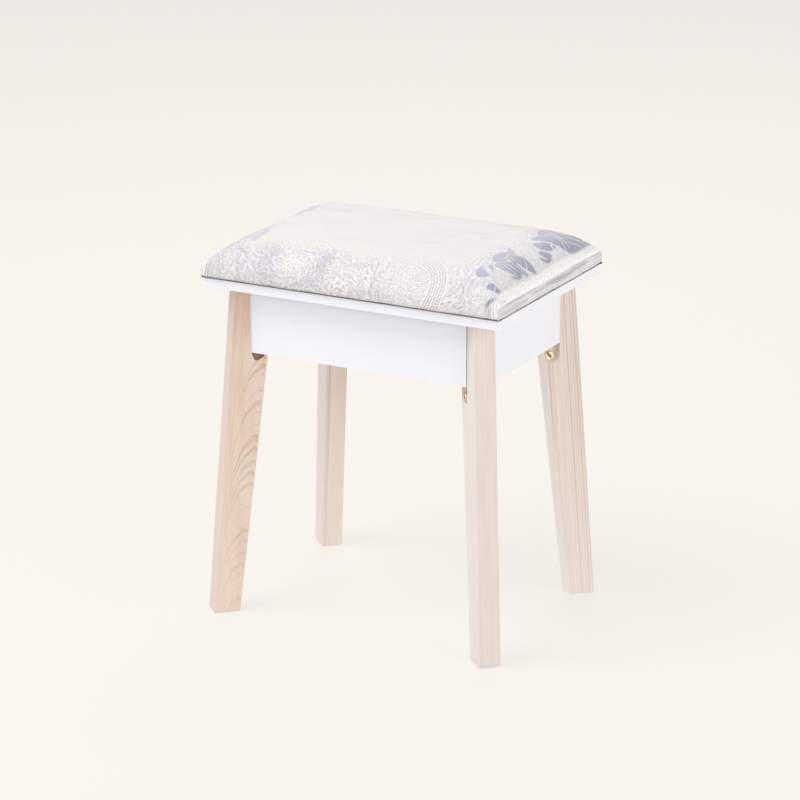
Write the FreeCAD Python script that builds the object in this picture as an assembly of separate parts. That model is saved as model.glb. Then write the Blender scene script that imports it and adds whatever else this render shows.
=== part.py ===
import FreeCAD, Part
import os
import math
from FreeCAD import Vector, Placement, Rotation

# Padded vanity stool. Millimetres, +Z up, -Y is the front.
# The origin is on the floor, below the middle of the seat.

# ---------------------------------------------------------------- driving sizes
# white top board
BOARD_W = 400.0          # along X
BOARD_D = 280.0          # along Y
BOARD_T = 12.0
BOARD_Z = 419.0          # underside

# box of four aprons (outer faces meet at the virtual corners)
BOX_W = 334.0
BOX_D = 234.0
APRON_T = 12.0
APRON_Z = 337.0          # lower edge
APRON_H = BOARD_Z - APRON_Z

# legs: cut from constant-thickness stock, set on the diagonal of each corner.
# u runs outward along the diagonal from the virtual corner of the box,
# w runs to the right of it, z is up.
LEG_T = 27.5
U_OUT_TOP = 4.5          # outer edge at the board
U_OUT_FOOT = 39.0        # outer edge at the floor
U_IN_SHOULDER = -35.5    # inner edge just under the box
U_IN_FOOT = 5.5          # inner edge at the floor
U_BACK = -LEG_T / 2.0    # back of the tongue, on the chamfered box corner
LEG_EASE = 1.0           # eased long edges
GAP_W = 1.0              # shadow gap between a leg's side and the apron
GAP_DEEP = 4.0

# scooped hollows in the shoulder, one in each side face, with a web of wood between them.
# Their floor is one slope, lower on the leg's right side. The right one is round-bottomed,
# the left one steep on its outer flank and shallow on its inner one.
SCOOP_R = 9.25
SCOOP_U = -23.0
SCOOP_Z_RIGHT = 312.0    # lowest point at the right face
SCOOP_Z_LEFT = 326.3     # lowest point at the left face
SCOOP_LEFT = [(-13.75, 13.0), (-15.0, 8.4), (-16.4, 4.0), (-18.1, 0.9), (-20.2, 0.0), (-23.0, 0.6), (-26.5, 2.3), (-30.4, 4.9), (-33.6, 8.0), (-37.5, 13.0)]
WEB_W0 = -8.0
WEB_W1 = 3.5

# shoulder joint: cross dowel and vertical bolt
DOWEL_R = 5.4
DOWEL_U = -25.8
DOWEL_Z = 320.2
DOWEL_W0 = -7.5
DOWEL_W1 = 12.6
SLOT_TURN = 50.0         # how far the slot in its end is turned
BOLT_W = -0.5            # the shoulder bolt runs down through the web
BOLT_R = 3.0
HEAD_R = 5.0
HEAD_H = 6.0
WASHER_R = 5.5
WASHER_T = 1.5
BLOCK_SHELF_Z = 377.0    # where the shoulder bolt's washer rests
POCKET_TOP_Z = 396.0
POCKET_W = 18.0

# upper joint: horizontal bolt into a threaded insert in the tongue
UPPER_Z = 407.0
INSERT_R = 4.7
INSERT_L = 12.5
UPPER_BOLT_L = 50.0

# triangular corner block
BLOCK_U = -55.0          # its long face
BLOCK_Z0 = 337.0
BLOCK_Z1 = 417.5

# cushion
CLOTH_T = 1.2
PANEL_T = 9.0
PANEL_HX = 197.5
PANEL_HY = 139.5
PANEL_R = 10.0
TURN_IN = 26.0           # cloth folded under the panel
CROWN_TOP = 51.0         # crown above the board
CLEAR = 0.05             # play round pins and screws

os.makedirs("parts", exist_ok=True)
made = {}


def save(name, shape):
    made[name] = shape
    shape.exportStep("parts/" + name + ".step")
    print(name, "valid", shape.isValid(), "solids", len(shape.Solids), "volume", round(shape.Volume, 1))


def cyl(r, h, pos, axis):
    return Part.makeCylinder(r, h, Vector(*pos), Vector(*axis))


def cone(r1, r2, h, pos, axis):
    return Part.makeCone(r1, r2, h, Vector(*pos), Vector(*axis))


def box(x0, y0, z0, x1, y1, z1):
    return Part.makeBox(x1 - x0, y1 - y0, z1 - z0, Vector(x0, y0, z0))


def prism_xy(points, z0, z1):
    wire = Part.makePolygon([Vector(x, y, z0) for x, y in points + [points[0]]])
    return Part.Face(wire).extrude(Vector(0, 0, z1 - z0))


# ---------------------------------------------------------------- corners
CORNERS = {
    "front_left": (-1, -1),
    "front_right": (1, -1),
    "back_right": (1, 1),
    "back_left": (-1, 1),
}


def corner_placement(sx, sy):
    ang = math.degrees(math.atan2(sy, sx))
    return Placement(Vector(sx * BOX_W / 2.0, sy * BOX_D / 2.0, 0), Rotation(Vector(0, 0, 1), ang))


def at_corner(shape, sx, sy):
    s = shape.copy()
    s.Placement = corner_placement(sx, sy).multiply(s.Placement)
    return s


# Everything below that belongs to a corner is drawn with X = u and Y = -w.

# ---------------------------------------------------------------- leg
def make_leg():
    pts = [
        (U_OUT_TOP, BOARD_Z),
        (U_OUT_FOOT, 0.0),
        (U_IN_FOOT, 0.0),
        (U_IN_SHOULDER, APRON_Z),
        (U_BACK, APRON_Z),
        (U_BACK, BOARD_Z),
    ]
    wire = Part.makePolygon([Vector(u, LEG_T / 2.0, z) for u, z in pts + [pts[0]]])
    leg = Part.Face(wire).extrude(Vector(0, -LEG_T, 0))
    # ease the four long edges of the outer and inner faces
    ease = []
    for e in leg.Edges:
        a, b = e.Vertexes[0].Point, e.Vertexes[-1].Point
        same_side = abs(a.y - b.y) < 1e-6 and abs(abs(a.y) - LEG_T / 2.0) < 1e-6
        if not same_side or e.Length < 200.0:
            continue
        ease.append(e)
    leg = leg.makeFillet(LEG_EASE, ease)
    # scooped hollow, a round-bottomed slot swept down towards the right face
    z_mid = (SCOOP_Z_RIGHT + SCOOP_Z_LEFT) / 2.0 + SCOOP_R
    slope = (SCOOP_Z_LEFT - SCOOP_Z_RIGHT) / LEG_T       # rise per mm towards the left
    y_start = -(LEG_T / 2.0 + 8.0)                        # beyond the right face
    zc = z_mid + slope * y_start
    top = zc + 60.0
    arc = Part.Arc(
        Vector(SCOOP_U - SCOOP_R, y_start, zc),
        Vector(SCOOP_U, y_start, zc - SCOOP_R),
        Vector(SCOOP_U + SCOOP_R, y_start, zc),
    ).toShape()
    l1 = Part.LineSegment(Vector(SCOOP_U + SCOOP_R, y_start, zc), Vector(SCOOP_U + SCOOP_R, y_start, top)).toShape()
    l2 = Part.LineSegment(Vector(SCOOP_U + SCOOP_R, y_start, top), Vector(SCOOP_U - SCOOP_R, y_start, top)).toShape()
    l3 = Part.LineSegment(Vector(SCOOP_U - SCOOP_R, y_start, top), Vector(SCOOP_U - SCOOP_R, y_start, zc)).toShape()
    run = LEG_T + 16.0
    right = Part.Face(Part.Wire([arc, l1, l2, l3])).extrude(Vector(0, run, slope * run))
    right = right.common(box(-80.0, -80.0, 250.0, 20.0, -WEB_W1, 420.0))
    leg = leg.cut(right)
    y_face = LEG_T / 2.0                                  # the left face
    flank = Part.BSplineCurve()
    flank.interpolate([Vector(u, y_face, SCOOP_Z_LEFT + h) for u, h in SCOOP_LEFT])
    a, b = flank.value(flank.FirstParameter), flank.value(flank.LastParameter)
    a_up, b_up = a + Vector(0, 0, 60.0), b + Vector(0, 0, 60.0)
    left_wire = Part.Wire([flank.toShape(), Part.LineSegment(b, b_up).toShape(),
                           Part.LineSegment(b_up, a_up).toShape(), Part.LineSegment(a_up, a).toShape()])
    left = Part.Face(left_wire)
    left.translate(Vector(0, 8.0, slope * 8.0))
    left = left.extrude(Vector(0, -run, -slope * run))
    left = left.common(box(-80.0, -WEB_W0, 250.0, 20.0, 80.0, 420.0))
    leg = leg.cut(left)
    # bore for the cross dowel, from the right face
    leg = leg.cut(cyl(DOWEL_R + CLEAR, LEG_T / 2.0 + 1.0 - DOWEL_W0 + 0.1,
                      (DOWEL_U, -DOWEL_W0 + 0.1, DOWEL_Z), (0, -1, 0)))
    # clearance bore for the shoulder bolt
    leg = leg.cut(cyl(BOLT_R + 0.3, 40.0, (DOWEL_U, -BOLT_W, 309.0), (0, 0, 1)))
    # bore for the threaded insert in the tongue
    leg = leg.cut(cyl(INSERT_R + CLEAR, INSERT_L + 0.3, (U_BACK, 0, UPPER_Z), (1, 0, 0)))
    return leg.removeSplitter()


leg_local = make_leg()
for cname, (sx, sy) in CORNERS.items():
    save(cname + "_leg", at_corner(leg_local, sx, sy))

# ---------------------------------------------------------------- aprons
hw, hd = BOX_W / 2.0, BOX_D / 2.0
ch = LEG_T / math.sqrt(2.0)              # how far the corner chamfer reaches along each side
m_out = ch / 2.0                         # chamfer plane on the mitre line
t = APRON_T


def apron_long(sign):
    pts = [
        (-hw + ch, -hd), (hw - ch, -hd), (hw - m_out, -hd + m_out),
        (hw - t, -hd + t), (-hw + t, -hd + t), (-hw + m_out, -hd + m_out),
    ]
    s = prism_xy(pts, APRON_Z, BOARD_Z)
    if sign > 0:
        s.Placement = Placement(Vector(0, 0, 0), Rotation(Vector(0, 0, 1), 180)).multiply(s.Placement)
    return s


def apron_short(sign):
    pts = [
        (-hw, -hd + ch), (-hw + m_out, -hd + m_out), (-hw + t, -hd + t),
        (-hw + t, hd - t), (-hw + m_out, hd - m_out), (-hw, hd - ch),
    ]
    s = prism_xy(pts, APRON_Z, BOARD_Z)
    if sign > 0:
        s.Placement = Placement(Vector(0, 0, 0), Rotation(Vector(0, 0, 1), 180)).multiply(s.Placement)
    return s


aprons = {
    "front_apron": apron_long(-1),
    "back_apron": apron_long(1),
    "left_apron": apron_short(-1),
    "right_apron": apron_short(1),
}

# shadow gap: a narrow upright groove in each apron beside the leg's side faces
for cname, (sx, sy) in CORNERS.items():
    for w in (LEG_T / 2.0, -LEG_T / 2.0 - GAP_W):
        groove = at_corner(box(U_BACK - GAP_DEEP, w, APRON_Z - 1.0, 6.0, w + GAP_W, BOARD_Z + 1.0), sx, sy)
        for n in aprons:
            aprons[n] = aprons[n].cut(groove)

# bore for the upper leg bolt through the chamfered corner
for cname, (sx, sy) in CORNERS.items():
    bore = at_corner(cyl(BOLT_R + 0.3, 30.0, (U_BACK + 5.0, 0, UPPER_Z), (-1, 0, 0)), sx, sy)
    for n in aprons:
        aprons[n] = aprons[n].cut(bore)

# ---------------------------------------------------------------- corner blocks
u_in = -APRON_T * math.sqrt(2.0)         # inner corner of the box on the diagonal
TIP = 1.2                                # blunt tip, clear of glue


def make_block():
    u0 = u_in - TIP
    pts = [(u0, TIP), (u0, -TIP), (BLOCK_U, -(u_in - BLOCK_U)), (BLOCK_U, (u_in - BLOCK_U))]
    b = prism_xy(pts, BLOCK_Z0, BLOCK_Z1)
    # shoulder bolt bore and the pocket above it that takes the key
    b = b.cut(cyl(BOLT_R + 0.3, BLOCK_SHELF_Z - BLOCK_Z0 + 2.0, (DOWEL_U, -BOLT_W, BLOCK_Z0 - 1.0), (0, 0, 1)))
    b = b.cut(box(BLOCK_U - 1.0, -POCKET_W / 2.0, BLOCK_SHELF_Z, u_in + 1.0, POCKET_W / 2.0, POCKET_TOP_Z))
    # upper leg bolt bore
    b = b.cut(cyl(BOLT_R + 0.3, 50.0, (u_in + 1.0, 0, UPPER_Z), (-1, 0, 0)))
    return b


block_local = make_block()

# screws from each block into its two aprons
S_R, S_HEAD_R, S_LEN = 1.75, 3.5, 30.0
S_ALONG = 31.0                           # along the apron from the inner corner
S_Z = 357.0


def wood_screw(r, head_r, length, pos, axis, socket=True):
    """Countersunk screw: pos is the centre of the head's flat face, axis points to its tip."""
    a = Vector(*axis)
    p = Vector(*pos)
    hh = head_r - r
    head = Part.makeCone(head_r, r, hh, p, a)
    shank = Part.makeCylinder(r, length - hh - 2.5 * r, p + a * hh, a)
    tip = Part.makeCone(r, 0.25, 2.5 * r, p + a * (length - 2.5 * r), a)
    s = head.fuse([shank, tip]).removeSplitter()
    if socket:
        # cross recess
        other = Vector(0, 0, 1) if abs(a.z) < 0.5 else Vector(1, 0, 0)
        side = a.cross(other)
        for d1, d2 in ((other, side), (side, other)):
            c = Part.makeBox(head_r * 1.25, head_r * 0.28, head_r * 0.5)
            m = FreeCAD.Matrix(
                d1.x, d2.x, a.x, 0, d1.y, d2.y, a.y, 0, d1.z, d2.z, a.z, 0, 0, 0, 0, 1)
            c.translate(Vector(-head_r * 0.625, -head_r * 0.14, -0.01))
            c = c.transformGeometry(m)
            c.translate(p)
            s = s.cut(c)
    return s


screws = []
blocks = {}
for cname, (sx, sy) in CORNERS.items():
    blk = at_corner(block_local, sx, sy)
    ix, iy = sx * (hw - APRON_T), sy * (hd - APRON_T)
    reach = (u_in - BLOCK_U) * math.sqrt(2.0)
    seat = reach - S_ALONG - 4.0         # head sits this far from the apron's inner face
    for k in (0, 1):
        if k == 0:                       # into the front or back apron
            pos = (ix - sx * S_ALONG, iy - sy * seat, S_Z)
            axis = (0, sy, 0)
        else:                            # into the left or right apron
            pos = (ix - sx * seat, iy - sy * S_ALONG, S_Z + 10.0)
            axis = (sx, 0, 0)
        # counterbore from the long face, then the pilot hole
        back = tuple(-v for v in axis)
        blk = blk.cut(cyl(S_HEAD_R + 0.3, 12.0, pos, back))
        hh = S_HEAD_R - S_R
        pilot = cyl(S_R + CLEAR, S_LEN + 0.5, pos, axis)
        sink = cone(S_HEAD_R + CLEAR, S_R + CLEAR, hh, pos, axis)
        blk = blk.cut(pilot).cut(sink)
        for n in aprons:
            aprons[n] = aprons[n].cut(pilot)
        screws.append(wood_screw(S_R, S_HEAD_R, S_LEN, pos, axis))
    blocks[cname + "_corner_block"] = blk

for n, s in blocks.items():
    save(n, s)
save("block_screws", Part.Compound(screws))

# ---------------------------------------------------------------- top board
board = box(-BOARD_W / 2.0, -BOARD_D / 2.0, BOARD_Z, BOARD_W / 2.0, BOARD_D / 2.0, BOARD_Z + BOARD_T)
vert = [e for e in board.Edges if abs(e.Vertexes[0].Point.z - e.Vertexes[-1].Point.z) > 5.0]
board = board.makeFillet(2.5, vert)
rim = [e for e in board.Edges if abs(e.Vertexes[0].Point.z - e.Vertexes[-1].Point.z) < 0.01]
board = board.makeFillet(0.8, rim)

# seat screws, pan head, from below
P_R, P_HEAD_R, P_HEAD_H, P_LEN = 2.0, 4.0, 2.4, 20.0
SEAT_SCREW_X, SEAT_SCREW_Y = 118.0, 72.0


def pan_screw(r, head_r, head_h, length, pos, axis):
    """Pan-head screw: pos is the centre of the bearing face under the head, axis points to its tip."""
    a = Vector(*axis)
    p = Vector(*pos)
    head = Part.makeCylinder(head_r, head_h, p - a * head_h, a)
    outer = [e for e in head.Edges if e.Length > 2.0 * math.pi * head_r * 0.9
             and (e.CenterOfMass - p).dot(a) < -head_h * 0.9]
    head = head.makeFillet(head_h * 0.6, outer)
    shank = Part.makeCylinder(r, length - 2.5 * r, p, a)
    tip = Part.makeCone(r, 0.25, 2.5 * r, p + a * (length - 2.5 * r), a)
    s = head.fuse([shank, tip]).removeSplitter()
    other = Vector(0, 0, 1) if abs(a.z) < 0.5 else Vector(1, 0, 0)
    side = a.cross(other)
    for d1, d2 in ((other, side), (side, other)):
        c = Part.makeBox(head_r * 1.1, head_r * 0.26, head_h * 0.6)
        m = FreeCAD.Matrix(d1.x, d2.x, a.x, 0, d1.y, d2.y, a.y, 0, d1.z, d2.z, a.z, 0, 0, 0, 0, 1)
        c.translate(Vector(-head_r * 0.55, -head_r * 0.13, -0.01))
        c = c.transformGeometry(m)
        c.translate(p - a * head_h)
        s = s.cut(c)
    return s


panel_z = BOARD_Z + BOARD_T + CLOTH_T
seat_screws = []
seat_pilots = []
for sx in (-1, 1):
    for sy in (-1, 1):
        pos = (sx * SEAT_SCREW_X, sy * SEAT_SCREW_Y, BOARD_Z)
        seat_screws.append(pan_screw(P_R, P_HEAD_R, P_HEAD_H, P_LEN, pos, (0, 0, 1)))
        seat_pilots.append(cyl(P_R + CLEAR, P_LEN + 0.5, pos, (0, 0, 1)))
for c in seat_pilots:
    board = board.cut(c)
save("seat_screws", Part.Compound(seat_screws))

# ---------------------------------------------------------------- angle brackets
BR_LEG, BR_W, BR_T = 24.0, 16.0, 2.0
K_R, K_HEAD_R, K_HEAD_H, K_LEN = 1.6, 3.0, 1.8, 9.0
brackets = []
bracket_screws = []


def bracket_local():
    """Angle bracket with its corner on the origin: one flange up -Y face, one under the board.
    The upright flange lies on the plane Y = 0 and reaches down, the other lies on Z = 0 and reaches +Y."""
    a = box(-BR_W / 2.0, 0, -BR_LEG, BR_W / 2.0, BR_T, 0)
    b = box(-BR_W / 2.0, 0, -BR_T, BR_W / 2.0, BR_LEG, 0)
    s = a.fuse(b).removeSplitter()
    inner = [e for e in s.Edges if abs(e.Vertexes[0].Point.y - BR_T) < 1e-6 and abs(e.Vertexes[-1].Point.y - BR_T) < 1e-6
             and abs(e.Vertexes[0].Point.z + BR_T) < 1e-6 and abs(e.Vertexes[-1].Point.z + BR_T) < 1e-6]
    s = s.makeFillet(1.5, inner)
    for x in (-4.0, 4.0):
        z = -10.0 if x < 0 else -18.0
        s = s.cut(cyl(K_R + 0.2, 10.0, (x, -4.0, z), (0, 1, 0)))
        s = s.cut(cyl(K_R + 0.2, 10.0, (x, -z, -6.0), (0, 0, 1)))
    return s


def bracket_set(cx, cy, ang):
    place = Placement(Vector(cx, cy, BOARD_Z), Rotation(Vector(0, 0, 1), ang))
    b = bracket_local()
    b.Placement = place.multiply(b.Placement)
    brackets.append(b)
    out = []
    for x in (-4.0, 4.0):
        z = -10.0 if x < 0 else -18.0
        s1 = pan_screw(K_R, K_HEAD_R, K_HEAD_H, K_LEN, (x, BR_T, z), (0, -1, 0))
        s2 = pan_screw(K_R, K_HEAD_R, K_HEAD_H, K_LEN, (x, -z, -BR_T), (0, 0, 1))
        p1 = cyl(K_R + CLEAR, K_LEN + 0.3, (x, BR_T, z), (0, -1, 0))
        p2 = cyl(K_R + CLEAR, K_LEN + 0.3, (x, -z, -BR_T), (0, 0, 1))
        for s in (s1, s2, p1, p2):
            s.Placement = place.multiply(s.Placement)
        bracket_screws.extend([s1, s2])
        out.extend([p1, p2])
    return out


pilots = []
pilots += bracket_set(0.0, -(hd - APRON_T), 0)
pilots += bracket_set(0.0, (hd - APRON_T), 180)
pilots += bracket_set(-(hw - APRON_T), 0.0, -90)
pilots += bracket_set((hw - APRON_T), 0.0, 90)
for c in pilots:
    board = board.cut(c)
    for n in aprons:
        if aprons[n].BoundBox.intersect(c.BoundBox):
            aprons[n] = aprons[n].cut(c)
save("board_brackets", Part.Compound(brackets))
save("bracket_screws", Part.Compound(bracket_screws))
save("top_board", board)
for n, s in aprons.items():
    save(n, s)

# ---------------------------------------------------------------- leg fasteners
dowel = cyl(DOWEL_R, DOWEL_W1 - DOWEL_W0, (DOWEL_U, -DOWEL_W0, DOWEL_Z), (0, -1, 0))
ends = [e for e in dowel.Edges if abs(e.Length - 2 * math.pi * DOWEL_R) < 0.01]
dowel = dowel.makeChamfer(0.6, ends)
dowel = dowel.cut(cyl(BOLT_R + CLEAR, 30.0, (DOWEL_U, -BOLT_W, DOWEL_Z - 15.0), (0, 0, 1)))
# screwdriver slot across the end, with a short cross slot
for ang, half_l, half_w, deep in ((SLOT_TURN, 6.0, 1.1, 3.2), (SLOT_TURN + 90.0, 2.4, 0.5, 1.2)):
    slot = box(-half_l, 0, -half_w, half_l, deep, half_w)
    slot.Placement = Placement(Vector(DOWEL_U, -DOWEL_W1 - 0.01, DOWEL_Z), Rotation(Vector(0, 1, 0), ang))
    dowel = dowel.cut(slot)


def socket_bolt(length, pos, axis, up):
    """Socket-head bolt: pos is the centre of the bearing face under the head, axis points to its tip."""
    a = Vector(*axis)
    p = Vector(*pos)
    head = Part.makeCylinder(HEAD_R, HEAD_H, p - a * HEAD_H, a)
    rim_edge = [e for e in head.Edges if abs(e.Length - 2 * math.pi * HEAD_R) < 0.01
                and (e.CenterOfMass - p).dot(a) < -HEAD_H * 0.9]
    head = head.makeFillet(0.6, rim_edge)
    shank = Part.makeCylinder(BOLT_R, length, p, a)
    end_edge = [e for e in shank.Edges if abs(e.Length - 2 * math.pi * BOLT_R) < 0.01
                and (e.CenterOfMass - p).dot(a) > length * 0.9]
    shank = shank.makeChamfer(0.7, end_edge)
    s = head.fuse(shank).removeSplitter()
    u = Vector(*up)
    v = a.cross(u)
    rr = 2.5 / math.cos(math.pi / 6.0)
    base = p - a * (HEAD_H + 0.01)
    pts = []
    for i in range(6):
        th = math.pi / 3.0 * i
        pts.append(base + u * (rr * math.cos(th)) + v * (rr * math.sin(th)))
    hexa = Part.Face(Part.makePolygon(pts + [pts[0]])).extrude(a * 3.2)
    return s.cut(hexa)


def ring(r_out, r_in, thick, pos, axis):
    return cyl(r_out, thick, pos, axis).cut(cyl(r_in, thick + 2.0, tuple(
        p - a for p, a in zip(pos, axis)), axis))


shoulder_bolt = socket_bolt(65.0, (DOWEL_U, -BOLT_W, BLOCK_SHELF_Z + WASHER_T), (0, 0, -1), (1, 0, 0))
shoulder_washer = ring(WASHER_R, BOLT_R + 0.2, WASHER_T, (DOWEL_U, -BOLT_W, BLOCK_SHELF_Z), (0, 0, 1))
upper_bolt = socket_bolt(UPPER_BOLT_L, (BLOCK_U - WASHER_T, 0, UPPER_Z), (1, 0, 0), (0, 0, 1))
upper_washer = ring(WASHER_R, BOLT_R + 0.2, WASHER_T, (BLOCK_U, 0, UPPER_Z), (-1, 0, 0))
insert = ring(INSERT_R, BOLT_R + CLEAR, INSERT_L, (U_BACK, 0, UPPER_Z), (1, 0, 0))

groups = {
    "shoulder_cross_dowels": dowel,
    "shoulder_bolts": shoulder_bolt,
    "shoulder_washers": shoulder_washer,
    "upper_leg_bolts": upper_bolt,
    "upper_leg_washers": upper_washer,
    "leg_inserts": insert,
}
for n, s in groups.items():
    save(n, Part.Compound([at_corner(s, sx, sy) for sx, sy in CORNERS.values()]))

# ---------------------------------------------------------------- cushion
def rounded_rect(hx, hy, r, z):
    r = min(r, hx - 0.5, hy - 0.5)
    k = r * math.sqrt(0.5)
    edges = []

    def line(x0, y0, x1, y1):
        edges.append(Part.LineSegment(Vector(x0, y0, z), Vector(x1, y1, z)).toShape())

    def arc(cx, cy, sx, sy, x0, y0, x1, y1):
        edges.append(Part.Arc(Vector(x0, y0, z), Vector(cx + sx * k, cy + sy * k, z), Vector(x1, y1, z)).toShape())

    line(-hx + r, -hy, hx - r, -hy)
    arc(hx - r, -hy + r, 1, -1, hx - r, -hy, hx, -hy + r)
    line(hx, -hy + r, hx, hy - r)
    arc(hx - r, hy - r, 1, 1, hx, hy - r, hx - r, hy)
    line(hx - r, hy, -hx + r, hy)
    arc(-hx + r, hy - r, -1, 1, -hx + r, hy, -hx, hy - r)
    line(-hx, hy - r, -hx, -hy + r)
    arc(-hx + r, -hy + r, -1, -1, -hx, -hy + r, -hx + r, -hy)
    return Part.Wire(edges)


HX, HY = 203.6, 144.9                    # widest outline of the cover
# height above the board, half width, half depth, corner radius
LOW = [
    (0.0, 199.0, 141.6, 8.5),
    (0.8, 199.9, 142.4, 8.6),
    (2.2, 201.7, 143.6, 8.8),
    (4.5, 203.1, 144.6, 9.0),
    (8.0, HX, HY, 9.0),
    (13.0, 203.4, 144.6, 9.5),
]
# the ends keep an upright band 18 mm high, with the pad rising from a ridge above it
CROWN = [
    (16.5, 202.5, 143.9, 10.0),
    (18.5, 200.8, 143.0, 10.6),
    (21.5, 195.2, 141.1, 11.2),
    (25.0, 191.3, 138.5, 12.0),
    (28.5, 188.0, 135.4, 14.0),
    (32.0, 184.6, 131.6, 16.8),
    (35.5, 181.0, 127.1, 20.0),
    (38.5, 177.4, 122.3, 23.0),
    (41.5, 173.2, 116.3, 26.0),
    (44.0, 168.8, 109.9, 28.5),
    (46.2, 163.7, 102.4, 30.0),
    (48.0, 157.7, 93.7, 30.5),
    (49.4, 150.0, 83.1, 30.0),
    (50.3, 140.7, 71.0, 27.5),
    (50.8, 127.7, 55.8, 23.5),
    (CROWN_TOP, 104.0, 38.0, 18.0),
]


def loft_stack(sections):
    wires = [rounded_rect(hx, hy, r, z) for z, hx, hy, r in sections]
    return Part.makeLoft(wires, True, True)


zb = BOARD_Z + BOARD_T
outer_sections = [(zb + h, hx, hy, r) for h, hx, hy, r in LOW]
outer_sections += [(zb + h, hx, hy, r) for h, hx, hy, r in CROWN]
outer = loft_stack(outer_sections)

panel_top = panel_z + PANEL_T
foam_sections = [(panel_top, HX - CLOTH_T - 0.3, HY - CLOTH_T - 0.3, 12.0)]
n_c = len(CROWN)
for i, (h, hx, hy, r) in enumerate(CROWN):
    g = i / (n_c - 1.0)
    foam_sections.append((zb + h - CLOTH_T * (0.25 + 0.75 * g), hx - CLOTH_T, hy - CLOTH_T, r))
foam = loft_stack(foam_sections)

panel = prism_xy([(-PANEL_HX, -PANEL_HY), (PANEL_HX, -PANEL_HY), (PANEL_HX, PANEL_HY), (-PANEL_HX, PANEL_HY)],
                 panel_z, panel_top)
panel = panel.makeFillet(PANEL_R, [e for e in panel.Edges
                                   if abs(e.Vertexes[0].Point.z - e.Vertexes[-1].Point.z) > 5.0])
panel_plain = panel.copy()
for c in seat_pilots:
    panel = panel.cut(c)

under = prism_xy([(-PANEL_HX + TURN_IN, -PANEL_HY + TURN_IN), (PANEL_HX - TURN_IN, -PANEL_HY + TURN_IN),
                  (PANEL_HX - TURN_IN, PANEL_HY - TURN_IN), (-PANEL_HX + TURN_IN, PANEL_HY - TURN_IN)],
                 zb - 1.0, panel_z)
cover = outer.cut(foam).cut(panel_plain).cut(under)

# staples: crown on the turned-in cloth, two legs up into the panel
ST_W, ST_D, ST_L = 10.0, 0.8, 7.0
staples = []


def staple(x, y, ang):
    a = box(-ST_W / 2.0, -ST_D / 2.0, 0, ST_W / 2.0, ST_D / 2.0, ST_D)
    b = box(-ST_W / 2.0, -ST_D / 2.0, 0, -ST_W / 2.0 + ST_D, ST_D / 2.0, ST_L)
    c = box(ST_W / 2.0 - ST_D, -ST_D / 2.0, 0, ST_W / 2.0, ST_D / 2.0, ST_L)
    s = a.fuse([b, c]).removeSplitter()
    s.Placement = Placement(Vector(x, y, zb + 0.2), Rotation(Vector(0, 0, 1), ang))
    return s


inset = 14.0
for i in range(7):
    x = -150.0 + 50.0 * i
    staples.append(staple(x, -PANEL_HY + inset, 0))
    staples.append(staple(x, PANEL_HY - inset, 0))
for i in range(5):
    y = -92.0 + 46.0 * i
    staples.append(staple(-PANEL_HX + inset, y, 90))
    staples.append(staple(PANEL_HX - inset, y, 90))
for s in staples:
    cover = cover.cut(s)
    panel = panel.cut(s)

save("seat_cover", cover)
save("foam_pad", foam)
save("seat_base_panel", panel)
save("cover_staples", Part.Compound(staples))

lo = [1e9, 1e9, 1e9]
hi = [-1e9, -1e9, -1e9]
for n, s in made.items():
    b = s.optimalBoundingBox(False, False)
    lo = [min(p, q) for p, q in zip(lo, (b.XMin, b.YMin, b.ZMin))]
    hi = [max(p, q) for p, q in zip(hi, (b.XMax, b.YMax, b.ZMax))]
print("box", [round(v, 2) for v in lo], [round(v, 2) for v in hi], "nodes", len(made))
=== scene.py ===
import math
import bpy
import numpy as np
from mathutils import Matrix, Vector
from mathutils.kdtree import KDTree


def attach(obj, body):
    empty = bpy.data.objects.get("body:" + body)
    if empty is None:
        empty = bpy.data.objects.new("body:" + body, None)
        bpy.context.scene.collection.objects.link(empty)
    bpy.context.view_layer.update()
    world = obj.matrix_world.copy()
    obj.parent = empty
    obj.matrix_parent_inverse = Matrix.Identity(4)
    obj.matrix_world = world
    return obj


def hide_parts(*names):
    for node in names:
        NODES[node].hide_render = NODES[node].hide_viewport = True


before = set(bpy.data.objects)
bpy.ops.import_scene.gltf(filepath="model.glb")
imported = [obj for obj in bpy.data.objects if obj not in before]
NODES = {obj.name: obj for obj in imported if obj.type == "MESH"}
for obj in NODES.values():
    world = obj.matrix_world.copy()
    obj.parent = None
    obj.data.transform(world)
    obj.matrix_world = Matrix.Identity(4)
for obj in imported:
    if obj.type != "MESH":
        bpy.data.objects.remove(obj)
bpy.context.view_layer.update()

scene = bpy.context.scene

# ------------------------------------------------------------------ node helpers


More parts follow.
